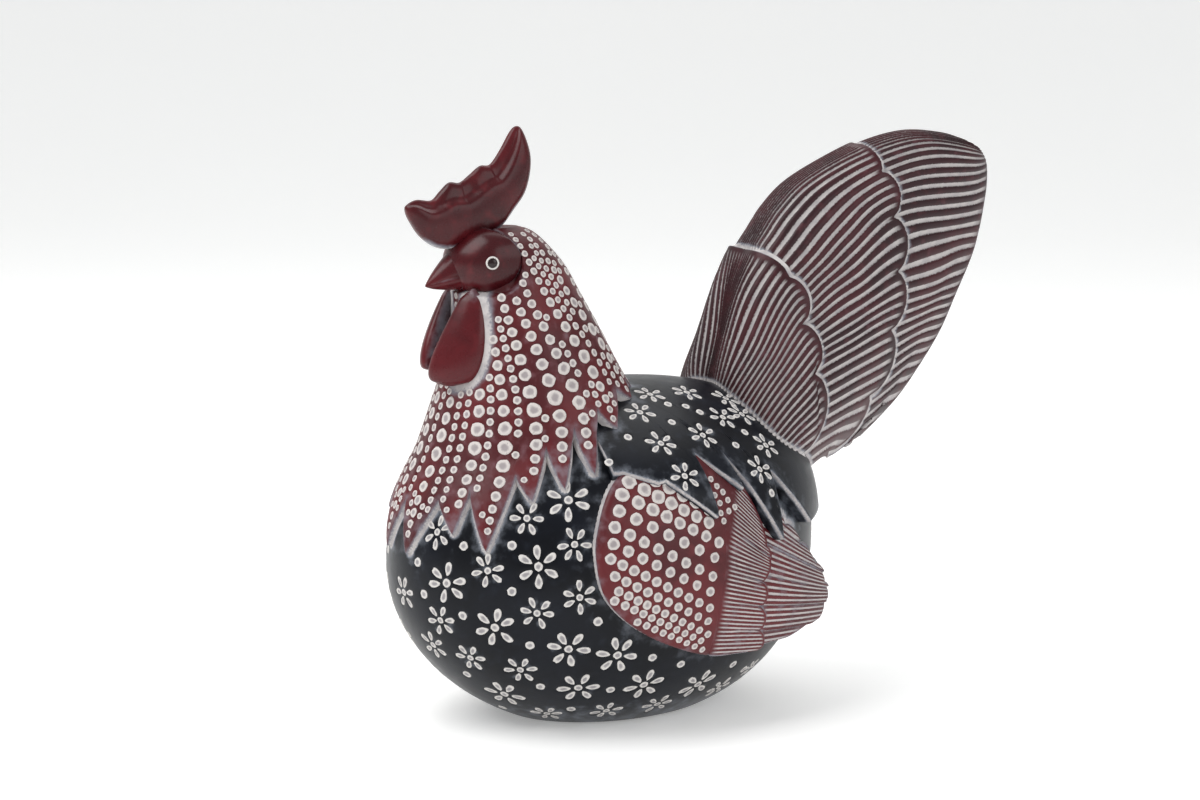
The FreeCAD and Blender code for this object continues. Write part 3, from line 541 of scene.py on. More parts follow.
def mesh_object(name, vertices, faces, material, layers, part=True):
    """An object from vertices in millimetres and lists of equal-sided face arrays; a part of the
    ornament rides on its body and is held inside the box of the solids."""
    if part:
        vertices = np.clip(vertices, np.array(cad_bounds[0]) / MM, np.array(cad_bounds[1]) / MM)
    counts = np.concatenate([np.full(len(f), f.shape[1]) for f in faces])
    loops = np.concatenate([f.ravel() for f in faces])
    starts = np.concatenate([[0], np.cumsum(counts)[:-1]])
    mesh = bpy.data.meshes.new(name)
    mesh.vertices.add(len(vertices))
    mesh.vertices.foreach_set("co", (vertices * MM).astype(np.float32).ravel())
    mesh.loops.add(len(loops))
    mesh.loops.foreach_set("vertex_index", loops.astype(np.int32))
    mesh.polygons.add(len(counts))
    mesh.polygons.foreach_set("loop_start", starts.astype(np.int32))
    mesh.polygons.foreach_set("use_smooth", np.ones(len(counts), dtype=bool))
    for key, values in layers.items():
        layer = mesh.attributes.new(key, "FLOAT", "POINT")
        layer.data.foreach_set("value", np.asarray(values, np.float32).ravel())
    mesh.update(calc_edges=True)
    mesh.validate()
    mesh.materials.append(material)
    result = bpy.data.objects.new(name, mesh)
    bpy.context.collection.objects.link(result)
    if part:
        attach(result, "root")
    return result


def grid_object(name, points, material, wrap=False, caps=(False, False), part=True, **layers):
    """A surface from rows x columns of points; wrap joins its columns, caps close its two ends."""
    rows, columns = points.shape[:2]
    vertices = points.reshape(-1, 3)
    row = np.arange(rows - 1)[:, None] * columns
    column = np.arange(columns if wrap else columns - 1)[None]
    after = (column + 1) % columns
    quads = np.stack([row + column, row + after, row + columns + after, row + columns + column],
                     -1).reshape(-1, 4)
    values = {key: np.broadcast_to(value, (rows, columns)).ravel() for key, value in layers.items()}
    ends = []
    for cap, first in zip(caps, (0, (rows - 1) * columns)):
        if cap:
            ring = first + np.arange(columns)
            pole = np.full(columns, len(vertices))
            vertices = np.concatenate([vertices, vertices[ring].mean(0, keepdims=True)])
            values = {key: np.append(value, value[first]) for key, value in values.items()}
            pair = [ring, np.roll(ring, -1)] if first else [np.roll(ring, -1), ring]
            ends.append(np.stack(pair + [pole], -1))
    corners = vertices[quads]
    normals = np.cross(corners[:, 2] - corners[:, 0], corners[:, 3] - corners[:, 1])
    outward = ((corners.mean(1) - vertices.mean(0)) * normals).sum()
    faces = [quads] + ends
    if outward < 0:
        faces = [face[:, ::-1] for face in faces]
    return mesh_object(name, vertices, faces, material, values, part)


def skin(name, node, points, material, wash, caps=(True, True), wrap=True, rib=0.0, cut=0.0):
    """A painted surface that stands for a node of the solids."""
    piece = grid_object(name, points, material, wrap, caps, wash=wash, rib=rib, cut=cut)
    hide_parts(node)


def normals_of(points, wrap, middle):
    """Normals of a grid of points by differences, pointing away from a middle point."""
    if wrap:
        along = np.roll(points, -1, 1) - np.roll(points, 1, 1)
    else:
        along = np.gradient(points, axis=1)
    normals = unit(np.cross(along, np.gradient(points, axis=0)))
    away = ((points - middle) * normals).sum()
    return normals if away > 0 else -normals


def fading(gap, strength, width, start=0.0):
    """Whitewash that dies away from a line: strength * exp(-(gap - start) / width)."""
    return strength * np.exp(-np.clip(gap - start, 0, None) / width)


def rows_of(values, count):
    """A grid with a row of equal values for each of the values."""
    return np.repeat(np.array(values)[:, None], count, 1)


def distance_to(points, others):
    """Distance from each point to the nearest of the others."""
    flat, result = points.reshape(-1, 3), []
    for part in np.array_split(flat, max(1, len(flat) * len(others) // 4000000)):
        square = (part ** 2).sum(1)[:, None] + (others ** 2).sum(1)[None] - 2 * part @ others.T
        result.append(np.sqrt(np.maximum(square.min(1), 0)))
    return np.concatenate(result).reshape(points.shape[:-1])


class Stamps:
    """Punched dots and petals: centres, normals, long directions, two half-lengths and a taper."""

    def __init__(self):
        self.rows = []

    def add(self, centres, normals, directions, half_length, half_width, taper):
        count = len(centres)
        sizes = [np.broadcast_to(np.asarray(v, float), count)[:, None]
                 for v in (half_length, half_width, taper)]
        self.rows.append(np.concatenate([centres, normals, directions] + sizes, 1))

    def table(self):
        return np.concatenate(self.rows)

    def press(self, points, normals, depth):
        """Grid points sunk along their normals by depth under each stamp, with soft edges."""
        table, flat = self.table(), points.reshape(-1, 3)
        sink = np.zeros(len(flat))
        for part in np.array_split(table, max(1, len(flat) * len(table) // 8000000)):
            square = (flat ** 2).sum(1)[:, None] + (part[:, :3] ** 2).sum(1)[None]
            square = square - 2 * flat @ part[:, :3].T
            at, stamp = np.nonzero(square < (1.5 * part[:, 9][None]) ** 2 + 1.0)
            offset = flat[at] - part[stamp, :3]
            along = (offset * part[stamp, 6:9]).sum(1) / part[stamp, 9]
            side_way = np.cross(part[stamp, 3:6], part[stamp, 6:9])
            width = part[stamp, 10] * (1 + part[stamp, 11] * np.clip(along, -1, 1))
            share = np.hypot(along, (offset * side_way).sum(1) / width)
            np.maximum.at(sink, at, depth * (1 - ramp(share, 0.5, 1.4)))
        return points - normals * sink.reshape(points.shape[:-1])[..., None]

    def dishes(self, name, material):
        """The whitewash in the stamps: shallow dishes of rings, their rims on the surface."""
        table, rounds = self.table(), dish_turns
        shares = np.array([0.42, 0.78, 1.0, 1.1])
        heights = np.array([-0.08, 0.13, 0.02, -0.5])
        rings = np.array([0.3, 0.85, 1.0, 1.0])
        turns = circle(rounds)
        long, wide, taper = (table[:, i, None, None] for i in (9, 10, 11))
        wobble = 1 + 0.045 * rng.standard_normal((len(table), 1, rounds))
        along = shares[None, :, None] * np.cos(turns) * wobble
        sideways = shares[None, :, None] * np.sin(turns) * wobble * (1 + taper * along)
        normal, direction = table[:, None, None, 3:6], table[:, None, None, 6:9]
        across = np.cross(normal, direction)
        small = np.clip(table[:, 9, None, None, None] / 2.0, 0.55, 1.0)
        points = (table[:, None, None, :3] + direction * (along * long)[..., None]
                  + across * (sideways * wide)[..., None]
                  + normal * heights[None, :, None, None] * small)
        centre = table[:, :3] + table[:, 3:6] * heights[0] * small[:, 0, 0]
        count, size = len(table), len(shares) * rounds + 1
        vertices = np.concatenate([points.reshape(count, -1, 3), centre[:, None]], 1)
        ring = np.tile(np.append(np.repeat(rings, rounds), 0.0), count)
        base = np.arange(count)[:, None, None] * size
        turn = np.arange(rounds)
        after = (turn + 1) % rounds
        quads = [np.stack([low + turn, low + rounds + turn, low + rounds + after, low + after], -1)
                 for low in (0, rounds, 2 * rounds)]
        fan = np.stack([np.full(rounds, size - 1), turn, after], -1)
        faces = [(base + np.concatenate(quads)[None]).reshape(-1, 4),
                 (base + fan[None]).reshape(-1, 3)]
        vertices = vertices.reshape(-1, 3)
        piece = mesh_object(name, vertices, faces, material, {"ring": ring})


def add_flowers(stamps, value, centres, sizes):
    """Six petals round a dot at each centre, laid on a form."""
    centres, normals = settle(value, centres)
    count = len(centres)
    sizes = np.broadcast_to(sizes, count)[:, None]
    level = unit(np.cross(normals, rng.standard_normal((count, 3))))
    stamps.add(centres, normals, level, heart_half_length * sizes[:, 0],
               heart_half_width * sizes[:, 0], 0.0)
    other = np.cross(normals, level)
    for petal in range(6):
        angle = 2 * np.pi * petal / 6 + rng.normal(0, 0.07, (count, 1))
        outward = level * np.cos(angle) + other * np.sin(angle)
        places = centres + outward * sizes * (petal_reach + rng.normal(0, 0.15, (count, 1)))
        places, up = settle(value, places)
        outward = flattened(outward, up)
        stamps.add(places, up, outward, petal_half_length * sizes[:, 0],
                   petal_half_width * sizes[:, 0], petal_taper)


def add_dots(stamps, value, centres, radii):
    centres, normals = settle(value, centres)
    level = unit(np.cross(normals, [0.0, 0.3, 1.0]))
    stamps.add(centres, normals, level, radii, radii, 0.0)


def side_points(shares, start_y, start_z, length, height):
    return np.array([(start_y + length * y, start_z + height * z) for y, z in shares])


def scallops(points, bulge_share):
    """Arcs from cusp to cusp that bulge to the right of the way they run, 16 steps each."""
    arcs = []
    for start, end in zip(points[:-1], points[1:]):
        chord = end - start
        sideways = np.array([chord[1], -chord[0]]) * bulge_share
        t = np.linspace(0, 1, 17)[:-1, None]
        arcs.append(start + chord * t - sideways * (4 * t * (1 - t)) ** 0.65)
    return np.concatenate(arcs + [points[-1:]])


def inside_outline(points, outline):
    """Whether side-view points lie inside a closed outline, by counting crossings."""
    y, z = points[..., 0], points[..., 1]
    result = np.zeros(y.shape, bool)
    for (y0, z0), (y1, z1) in zip(outline, np.roll(outline, -1, 0)):
        if z0 != z1:
            crosses = (z0 > z) != (z1 > z)
            result ^= crosses & (y < (y1 - y0) * (z - z0) / (z1 - z0) + y0)
    return result


def resample(points, count, closed=False):
    """Points spaced evenly along a line."""
    if closed:
        points = np.concatenate([points, points[:1]])
    length = np.append(0, np.cumsum(np.linalg.norm(np.diff(points, axis=0), axis=1)))
    at = np.linspace(0, length[-1], count, endpoint=not closed)
    return np.stack([np.interp(at, length, points[:, i]) for i in range(points.shape[1])], -1)


sides, mirror = ((1, "left"), (-1, "right")), np.array([-1, 1, 1])

# Wattles: level ovals, turned along the throat, that swell and close as they hang down
ring_turn = circle(96)
wattle_skins = []
fall = np.linspace(-0.03, 0.985, 110)
swell = curve(wattle_drop_shares, wattle_length_shares, fall)
swell = swell * np.sqrt(1 - np.clip((fall - 0.93) / 0.06, 0, 1) ** 2 * 0.75)
swell = swell * np.sqrt(0.02 + 0.98 * ramp(fall, -0.04, 0.09))
wattle_angle = math.radians(wattle_turn)
for side, word in sides:
    thick = wattle_half_thickness * swell[:, None] * np.sin(ring_turn)
    long = -wattle_half_length * swell[:, None] * np.cos(ring_turn)
    long = long + wattle_sweep * (0.61 - fall[:, None])
    drop = wattle_drops[word]
    tuck = wattle_tuck * (1 - np.clip(fall, 0, 1)[:, None]) ** 2
    sine, cosine = math.sin(wattle_angle), math.cos(wattle_angle)
    wattle = np.stack([side * (wattle_side - tuck + sine * long + cosine * thick),
                       -wattle_lead + cosine * long - sine * thick,
                       (foot_z + wattle_rise - drop * fall)[:, None] * np.ones_like(ring_turn)], -1)
    inner_side = ramp(-np.sin(ring_turn), -0.2, 0.7) * ramp(np.cos(ring_turn), -0.9, -0.5)
    wattle_wash = np.maximum(0.25 * (1 - ramp(fall, 0.02, 0.16))[:, None], 0.45 * inner_side)
    wattle_skins.append(wattle[::3, ::3].reshape(-1, 3))
    skin(word + "_wattle_surface", word + "_wattle", wattle, gloss, wattle_wash)

# Hackle: columns run from the zigzag rim up to the crown of the hood
turns = np.stack([notch_turn_shares, tooth_turn_shares], 1).ravel()
rims = np.stack([notch_drop_shares, tooth_drop_shares], 1).ravel()
knots = np.append(turns, 1 - turns[-2::-1])
drops = np.append(rims, rims[-2::-1])
steps, sample_count, hackle_rows = 11, 260, 170
column_turns = np.linspace(knots[:-1], knots[1:], steps, endpoint=False).T.ravel()
column_drops = np.interp(column_turns, knots, drops)
rim_z = body_top - tooth_drop * column_drops
crown_z = foot_z + neck_root_rise + neck_height * crown_share
angles = 2 * np.pi * column_turns
outward = np.stack([np.sin(angles), -np.cos(angles), 0 * angles], -1)
dense = np.linspace(0, 1, sample_count)[:, None]
heights = rim_z + (crown_z - rim_z) * dense
lead = hackle_axis_lead + (neck_lead(heights) - hackle_axis_lead) * ramp(dense, 0.0, 0.5)
axis_points = np.stack([0 * heights, -lead, heights], -1)
directions = np.broadcast_to(outward, axis_points.shape)
on_body = reach_out(lifted_value, axis_points, directions)
on_neck = reach_out(neck_value, axis_points, directions)
soft = np.clip(hackle_blend - np.abs(on_body - on_neck), 0, None) / hackle_blend
radii = np.maximum(on_body, on_neck) + hackle_blend * soft ** 2 / 4
raw = axis_points + directions * radii[..., None]
hackle = np.stack([resample(raw[:, i], hackle_rows) for i in range(raw.shape[1])], 1)
hackle_length = np.linalg.norm(np.diff(hackle, axis=0), axis=2).sum(0)
hackle_normals = normals_of(hackle, True, np.array([0, -35, 130.0]))
rim = hackle[0]


def face_share(points):
    """Less than one inside the face's ellipse in the side view, in front of the hood's rim."""
    y, z = points[..., 1] + face_lead, points[..., 2] - foot_z - head_rise - face_lift
    tall = np.where((y < 0) & (z > 0), 0.6 * z, z)
    return np.hypot(np.where(y < 0, 0.55 * y, y) / face_half_length, tall / face_half_height)


# Dots of the hackle: a column of large dots up each tooth, smaller ones in the gaps
def column_dots(turn, largest, smallest, pitch, first):
    """Places along a hackle column, as (column turn, length from the rim, diameter)."""
    index = np.argmin(np.abs(column_turns - turn))
    length = hackle_length[index]
    places, at = [], first
    while at < length - 2:
        share = at / length
        if largest > 4:
            size = np.interp(share, [0, 0.05, 0.28, 0.5, 0.72, 1.0],
                             [2.6, 3.0, largest, 4.3, 3.1, 2.1])
        else:
            size = np.interp(share, [0, 0.2, 0.5, 0.75, 1.0], [smallest, largest, 2.9, 2.5, 2.0])
        places.append((turn, at + size / 2, size))
        at += size * pitch
    return places


tooth_turns = sorted(tooth_turn_shares[:-1] + [1 - t for t in tooth_turn_shares])
# Largest and smallest diameter, pitch in diameters and distance of the first dot from the rim
tooth_dots, gap_dots = (5.8, 2.6, 1.32, 2.2), (3.2, 2.7, 1.4, 2.0)
short_dots = (2.9, 2.5, 1.45, 2.0)
candidates = [column_dots(turn, *tooth_dots) for turn in tooth_turns]
for turn, after in zip(tooth_turns, tooth_turns[1:] + [tooth_turns[0] + 1]):
    for share in (0.36, 0.66) if after - turn > 0.05 else (0.5,):
        candidates.append(column_dots((turn + (after - turn) * share) % 1, *gap_dots))
    for share in (0.2, 0.8):
        short = column_dots((turn + (after - turn) * share) % 1, *short_dots)
        candidates.append(short[:len(short) // 2])
dots = np.array([dot for group in candidates for dot in group])

# Each dot's place on the grid of the hackle
column_at = np.interp(dots[:, 0], np.append(column_turns, 1.0), np.arange(len(column_turns) + 1.0))
column_low = np.floor(column_at).astype(int) % len(column_turns)
column_high = (column_low + 1) % len(column_turns)
part_way = (column_at - np.floor(column_at))[:, None]
row_at = dots[:, 1] / hackle_length[column_low] * (hackle_rows - 1)
row_low = np.clip(np.floor(row_at).astype(int), 0, hackle_rows - 2)
row_part = (row_at - row_low)[:, None]


def on_hackle(grid):
    """Values of a grid of the hackle at its dots, blended from the four nearest points."""
    low, high = (grid[row, column_low] * (1 - part_way) + grid[row, column_high] * part_way
                 for row in (row_low, row_low + 1))
    return low * (1 - row_part) + high * row_part


# Dots clear of the rim, the face, the crown, the wattles and each other
dot_places, dot_normals = on_hackle(hackle), unit(on_hackle(hackle_normals))
clear = (distance_to(dot_places, rim) > dots[:, 2] / 2 + 0.5) & (face_share(dot_places) > 1.07)
clear &= (dots[:, 1] < hackle_length[column_low] - 3)
clear &= distance_to(dot_places, np.concatenate(wattle_skins)) > 3.2
kept, kept_sizes, chosen = np.zeros((0, 3)), np.zeros(0), []
for index in np.flatnonzero(clear):
    gap = np.linalg.norm(kept - dot_places[index], axis=1)
    if np.all(gap > 0.53 * (kept_sizes + dots[index, 2]) + 0.3):
        kept = np.concatenate([kept, dot_places[index:index + 1]])
        kept_sizes = np.append(kept_sizes, dots[index, 2])
        chosen.append(index)
hackle_stamps = Stamps()
kept_normals = dot_normals[chosen]
up_column = unit(np.cross(kept_normals, np.cross([0.0, 0.0, 1.0], kept_normals)))
radius = kept_sizes / 2 * (1 + rng.normal(0, 0.03, len(chosen)))
hackle_stamps.add(kept, kept_normals, up_column, radius * 0.97, radius, 0.0)
hackle_stamps.dishes("hackle_dots", pale)

# Hood sunk under the face, dots pressed in, and a bevelled rim that runs down on to the body
inside_face = ramp(1.06 - face_share(hackle), 0.0, 0.1)
forward = (hackle[..., 1] < -face_lead + face_half_length) & (hackle[..., 2] > hood_low_z)
hackle_surface = hackle_stamps.press(hackle, hackle_normals, hackle_punch_depth)
hackle_surface = hackle_surface - hackle_normals * (hood_sink * inside_face * forward)[..., None]
rim_along = unit(np.roll(rim, -1, 0) - np.roll(rim, 1, 0))
rim_down = unit(np.cross(rim_along, hackle_normals[0]))
rim_down = rim_down * np.sign(-(rim_down * (hackle[3] - hackle[0])).sum(1))[:, None]
skirts = skirt(rim, rim_down, hackle_normals[0],
               ((1.7, 3.6), (1.2, 2.0), (0.7, 0.8), (0.3, 0.15)))
surface = np.concatenate([np.array(skirts), hackle_surface])
edge_distance = distance_to(hackle, resample(rim, 500, True))
hood_line = 0.35 * np.exp(-np.abs(face_share(hackle) - 1.05) * 22)
hood_line = hood_line * ramp(hackle[..., 1], -face_lead, -face_lead + 6)
wattle_gap = distance_to(hackle, np.concatenate(wattle_skins))
wash = most(fading(edge_distance, 0.4, 0.7), fading(edge_distance, 0.3, 5.0), hood_line * forward,
            fading(distance_to(hackle, kept), 0.08, 0.8, 1.5),
            1 - 0.9 * ramp(wattle_gap, 1.0, 6.0))
wash = np.concatenate([rows_of([1.0, 1.0, 0.7, 0.4], len(rim)), wash])
skin("hackle_surface", "neck_hackle", surface, red, wash, (False, True))

# Body: ovals from the seat of the base plate out round the foot and up to the top
around = circle(440)
reach_rows = np.linspace(np.arccos(1 - 2 * foot_sink / (body_height + foot_sink)), np.pi, 211)[:-1]
z_rows = foot_z - foot_sink + (body_height + foot_sink) * (1 - np.cos(reach_rows)) / 2
front, back, side = (half[:, None] for half in body_halves(z_rows))
reach = np.where(np.cos(around) > 0, front, back)
body = np.stack([side * np.sin(around), -reach * np.cos(around),
                 z_rows[:, None] * np.ones_like(around)], -1)
body_normals = unit(slope(body_value, body))

# Outlines of the wing and the saddle in the side view, which the flowers keep clear of
wing_base = (-wing_lead, foot_z + wing_top_rise - wing_drop, wing_length, wing_drop)
edge_points = side_points(wing_edge_shares, *wing_base)
edge_line = smooth_line(edge_points, 121)
feather_tips = side_points(wing_tip_shares, *wing_base)
top_points = side_points(wing_top_shares, *wing_base)
wing_outline = np.concatenate([edge_line[:-1], scallops(feather_tips, -feather_bulge_share),
                               top_points])
saddle_base = (-saddle_front, body_top - saddle_drop, saddle_length, saddle_drop)
saw_tips = side_points([(y, 1 - z) for y, z in saddle_tip_shares], *saddle_base)
saw_notches = side_points([(y, 1 - z) for y, z in saddle_notch_shares], *saddle_base)
saw = np.array([point for pair in zip(saw_notches, saw_tips) for point in pair])
saddle_rear = tail_root_reach + tail_length / 2
saw = np.concatenate([saw, [(saddle_rear, foot_z + tail_root_rise)]])
saddle_outline = np.concatenate([saw, [(saddle_rear, 2 * body_top),
                                       (-saddle_front - 4, 2 * body_top),
                                       (-saddle_front - 4, saw[0, 1])]])


# Flowers of the body: the ones in the photo, their mirror images and random ones out of sight
def free_body(points, margin):
    """Whether points of the body lie clear of hackle, wings, saddle and foot by a margin."""
    turn = np.arctan2(points[:, 0], -(points[:, 1] + hackle_axis_lead)) / (2 * np.pi) % 1
    rim_height = body_top - tooth_drop * np.interp(turn, knots, drops)
    free = points[:, 2] < rim_height - margin
    flat = points[:, 1:]
    free &= ~inside_outline(flat, wing_outline)
    line = np.abs(flat[:, None] - resample(wing_outline, 160, True)[None])
    free &= np.hypot(line[..., 0], line[..., 1]).min(1) > margin
    free &= ~inside_outline(flat + [0.0, margin], saddle_outline)
    return free & (points[:, 2] > 9)


def mirrored(points, others, gap):
    """Mirror images of points on the left that stay a gap away from the others."""
    image = points[points[:, 0] > 3] * mirror
    return image[distance_to(image, others) > gap]


def out_of_sight(points):
    """The points of the body that face away from the camera."""
    return points[(slope(body_value, points) * (camera_place - points)).sum(-1) <= 0]


def spread(margin, taken, gap, count):
    """Random free places on the body that keep a gap from the taken ones and from each other."""
    z = rng.uniform(9, body_top - 2, count)
    angle = rng.uniform(0, 2 * np.pi, count)
    front, back, side = body_halves(z)
    reach = np.where(np.cos(angle) > 0, front, back)
    points = np.stack([side * np.sin(angle), -reach * np.cos(angle), z], -1)
    points, _ = settle(body_value, points)
    added = []
    for point in points[free_body(points, margin)]:
        if np.linalg.norm(taken - point, axis=1).min() > gap:
            taken = np.concatenate([taken, point[None]])
            added.append(point)
    return np.array(added).reshape(-1, 3)


def wing_surface(flat, grow):
    """Side-view points laid on the wing's form: x = side * sqrt(1 - (y / reach) ** 2)."""
    y, z = flat[..., 0], flat[..., 1]
    front, back, side = wing_halves(z, grow)
    reach = np.where(y < 0, front, back)
    x = side * np.sqrt(np.clip(1 - (y / reach) ** 2, 0.0, 1))
    return np.stack([x, y, z], -1)


large, medium, small = (seen(body_value, pixels)
                        for pixels in (large_flowers, medium_flowers, small_flowers))
shown = np.concatenate([large, medium, small])
large_far, medium_far = mirrored(large, shown, large_gap), mirrored(medium, shown, medium_gap)
taken = np.concatenate([shown, large_far, medium_far])
fill = out_of_sight(spread(fill_margin, taken, fill_gap, fill_tries))
body_stamps = Stamps()
add_flowers(body_stamps, body_value, np.concatenate([large, large_far]), large_size)
add_flowers(body_stamps, body_value, np.concatenate([medium, medium_far, fill]), medium_size)
add_flowers(body_stamps, body_value, small, small_size)
single = seen(body_value, body_dots)
taken = np.concatenate([taken, fill])
single_far = mirrored(single, taken, dot_gap)
taken = np.concatenate([taken, single, single_far])
few = out_of_sight(spread(few_margin, taken, few_gap, few_tries))
add_dots(body_stamps, body_value, np.concatenate([single, single_far, few]), body_dot_radius)
body_stamps.dishes("body_flowers", chalk)
pressed = body_stamps.press(body, body_normals, punch_depth)

# Seat for the base plate under the foot, whitewash along the rims and the petals, and a pale haze
# that grows towards the foot
foot_front, foot_back, foot_side = (float(v) for v in body_halves(np.array(foot_z)))
plate_half = (foot_front + foot_back) / 2 - plate_margin
plate_shift = (foot_back - foot_front) / 2
seat = np.stack([(foot_side - plate_margin) * np.sin(around),
                 plate_shift - plate_half * np.cos(around), np.full(around.shape, foot_z)], -1)
seat_top = seat + [0, 0, plate_thickness]
surface = np.concatenate([[seat_top, seat], pressed])
hem = resample(rim, 500, True)
wing_line = resample(wing_outline, 300, True)
wing_rim = wing_surface(wing_line, wing_proud)
both_rims = np.concatenate([hem, wing_rim, wing_rim * mirror])
rim_gap = distance_to(body, both_rims)
petal_gap = distance_to(body, body_stamps.table()[:, :3])
body_wash = most(fading(rim_gap, 0.6, 4.0), fading(rim_gap, 0.95, 0.7, 2.8),
                 0.3 * ramp(18 - body[..., 2], 0, 14), fading(petal_gap, 0.3, 0.7, 1.4))
body_wash = np.concatenate([np.zeros((2, len(around))), body_wash])
skin("body_surface", "body_shell", surface, navy, body_wash)


def flat_gap(flat, line):
    """Distance in the side view from points to a line of points."""
    level = np.concatenate([np.zeros(flat.shape[:-1] + (1,)), flat], -1)
    return distance_to(level, np.concatenate([np.zeros((len(line), 1)), line], 1))


def patch(outline, centre, columns, rows):
    """Side-view rows of points from a centre out to an outline."""
    line = resample(outline, columns, True)
    shares = np.linspace(0.01, 1, rows)[:, None, None]
    return centre + (line[None] - centre) * shares


def rounded(gap):
    """How far the painted face falls away towards its edge, a quarter round 2.5 mm wide."""
    return 1.5 * (1 - np.sqrt(1 - np.clip(1 - gap / 2.5, 0, 1) ** 2))


def wing_piece(name, node, flat, depth, wash, rib=0.0, cut=0.0):
    """Both wings' skins: the outer face, an edge that turns inwards and the inner face; depth is
    how far the outer face is sunk."""
    outer = wing_surface(flat, wing_proud)
    normals = unit(slope(wing_value, outer))
    outer = wing_stamps.press(outer - normals * depth[..., None], normals, punch_depth)
    edge = outer[-1]
    inner = wing_surface(flat[::-6], wing_proud - wing_thickness)
    away = flattened(edge - outer[0].mean(0), normals[-1])
    free = ramp(flat_gap(flat[-1], seam_ring), 0.3, 1.5)[:, None]
    rolls = skirt(edge, away * free, normals[-1], ((0.15, 0.3), (0.25, 0.9), (0.3, 1.9)))
    rolls.append(inner[0] + away * 0.4 * free)
    points = np.concatenate([outer, rolls, inner])
    extra = len(points) - len(outer)
    edge_wash = np.append([0.35, 0.85, 1.0, 0.6], np.full(extra - 4, 0.2))
    values = []
    for value, edge_value in ((wash, edge_wash), (rib, np.zeros(extra)), (cut, np.zeros(extra))):
        value = np.broadcast_to(value, outer.shape[:2])
        values.append(np.concatenate([value, edge_value[:, None] * free[:, 0]]))
    for side, word in sides:
        skin(word + "_" + name, word + "_" + node, points * [side, 1, 1], red, values[0],
             rib=values[1], cut=values[2])


covert_line = smooth_line(side_points(covert_line_shares, *wing_base), 90)
covert_line = covert_line[inside_outline(covert_line, wing_outline)]
line_y = np.interp(wing_outline[:, 1], covert_line[::-1, 1], covert_line[::-1, 0])
ahead = wing_outline[:, 0] < line_y
start = np.flatnonzero(ahead & ~np.roll(ahead, 1))[0]
rolled, rolled_ahead = np.roll(wing_outline, -start, 0), np.roll(ahead, -start)
covert_outline = np.concatenate([rolled[rolled_ahead], covert_line[::-1]])
flight_outline = np.concatenate([rolled[~rolled_ahead], covert_line])

# Dots of the wing: rows that slope down to the rear, smaller towards the belly
wing_dots, wing_radii = [], []
for number, (first, last, count) in enumerate(wing_rows):
    shares = np.linspace(0, 1, count) ** 0.92
    row = seen(wing_value, np.array(first) + (np.array(last) - first) * shares[:, None])
    wing_dots.append(row)
    base_size = np.interp(number, [0, 5, 11], [2.75, 2.2, 1.35])
    wing_radii.append(base_size * np.interp(shares[:len(row)], [0, 1], [1.08, 0.86]))
wing_dots, wing_radii = np.concatenate(wing_dots), np.concatenate(wing_radii)
covert_ring = resample(covert_outline, 240, True)
dot_edge = flat_gap(wing_dots[:, 1:], covert_ring)
good = inside_outline(wing_dots[:, 1:], covert_outline) & (dot_edge > wing_radii * 0.9 + 0.5)
high_dots = seen(wing_value, high_wing_dots)
wing_dots = np.concatenate([wing_dots[good], high_dots])
wing_radii = np.append(wing_radii[good], np.full(len(high_dots), high_dot_radius))
wing_stamps = Stamps()
add_dots(wing_stamps, wing_value, wing_dots, wing_radii)
wing_stamps.dishes("left_wing_dots", pale)
far_stamps = Stamps()
table = wing_stamps.table()
far_stamps.add(table[:, :3] * mirror, table[:, 3:6] * mirror, table[:, 6:9] * mirror,
               table[:, 9], table[:, 10], 0.0)
far_stamps.dishes("right_wing_dots", pale)
covert_flat = patch(covert_outline, np.array([-6.0, 68.0]), 360, 90)
wing_ring = resample(wing_outline, 900, True)
seam_ring = resample(covert_line, 300)
covert_gap = flat_gap(covert_flat, wing_ring)
round_dots = distance_to(wing_surface(covert_flat, wing_proud), wing_dots)
covert_wash = most(fading(covert_gap, 0.35, 0.5), fading(covert_gap, 0.22, 4.0),
                   fading(round_dots, 0.08, 0.8, 1.8))
wing_piece("covert_skin", "wing_coverts", covert_flat, rounded(covert_gap), covert_wash)

# Flight feathers: the inner row ends in four scallops; cuts fan out and down to the rear
flight_flat = patch(flight_outline, np.array([42.0, 62.0]), 520, 110)
flight_y, flight_z = flight_flat[..., 0], flight_flat[..., 1]
row_end_z = np.array([112.0, 73.5, 60.0, 50.0, 39.8, 30.5, 24.0])
row_end_y = np.array([24.0, 43.0, 39.0, 38.0, 39.0, 41.0, 43.0])
lobes = np.interp(flight_z, row_end_z[::-1], row_end_y[::-1])
within = (flight_z[..., None] < row_end_z[:-1]) & (flight_z[..., None] >= row_end_z[1:])
span = (row_end_z[:-1] - flight_z[..., None]) / (row_end_z[:-1] - row_end_z[1:])
bulge = (np.sqrt(np.clip(4 * span * (1 - span), 0, 1)) * within).sum(-1)
row_end = lobes + 4.4 * bulge - 2.8
inner_row = ramp(row_end - flight_y, -0.3, 0.7)


def level_at(middle_y, heights, slopes):
    """Height at which the cut through each point crosses y = middle_y; slopes vary with height."""
    level = flight_z
    for _ in range(8):
        level = flight_z - np.interp(level, heights, slopes) * (flight_y - middle_y)
    return level


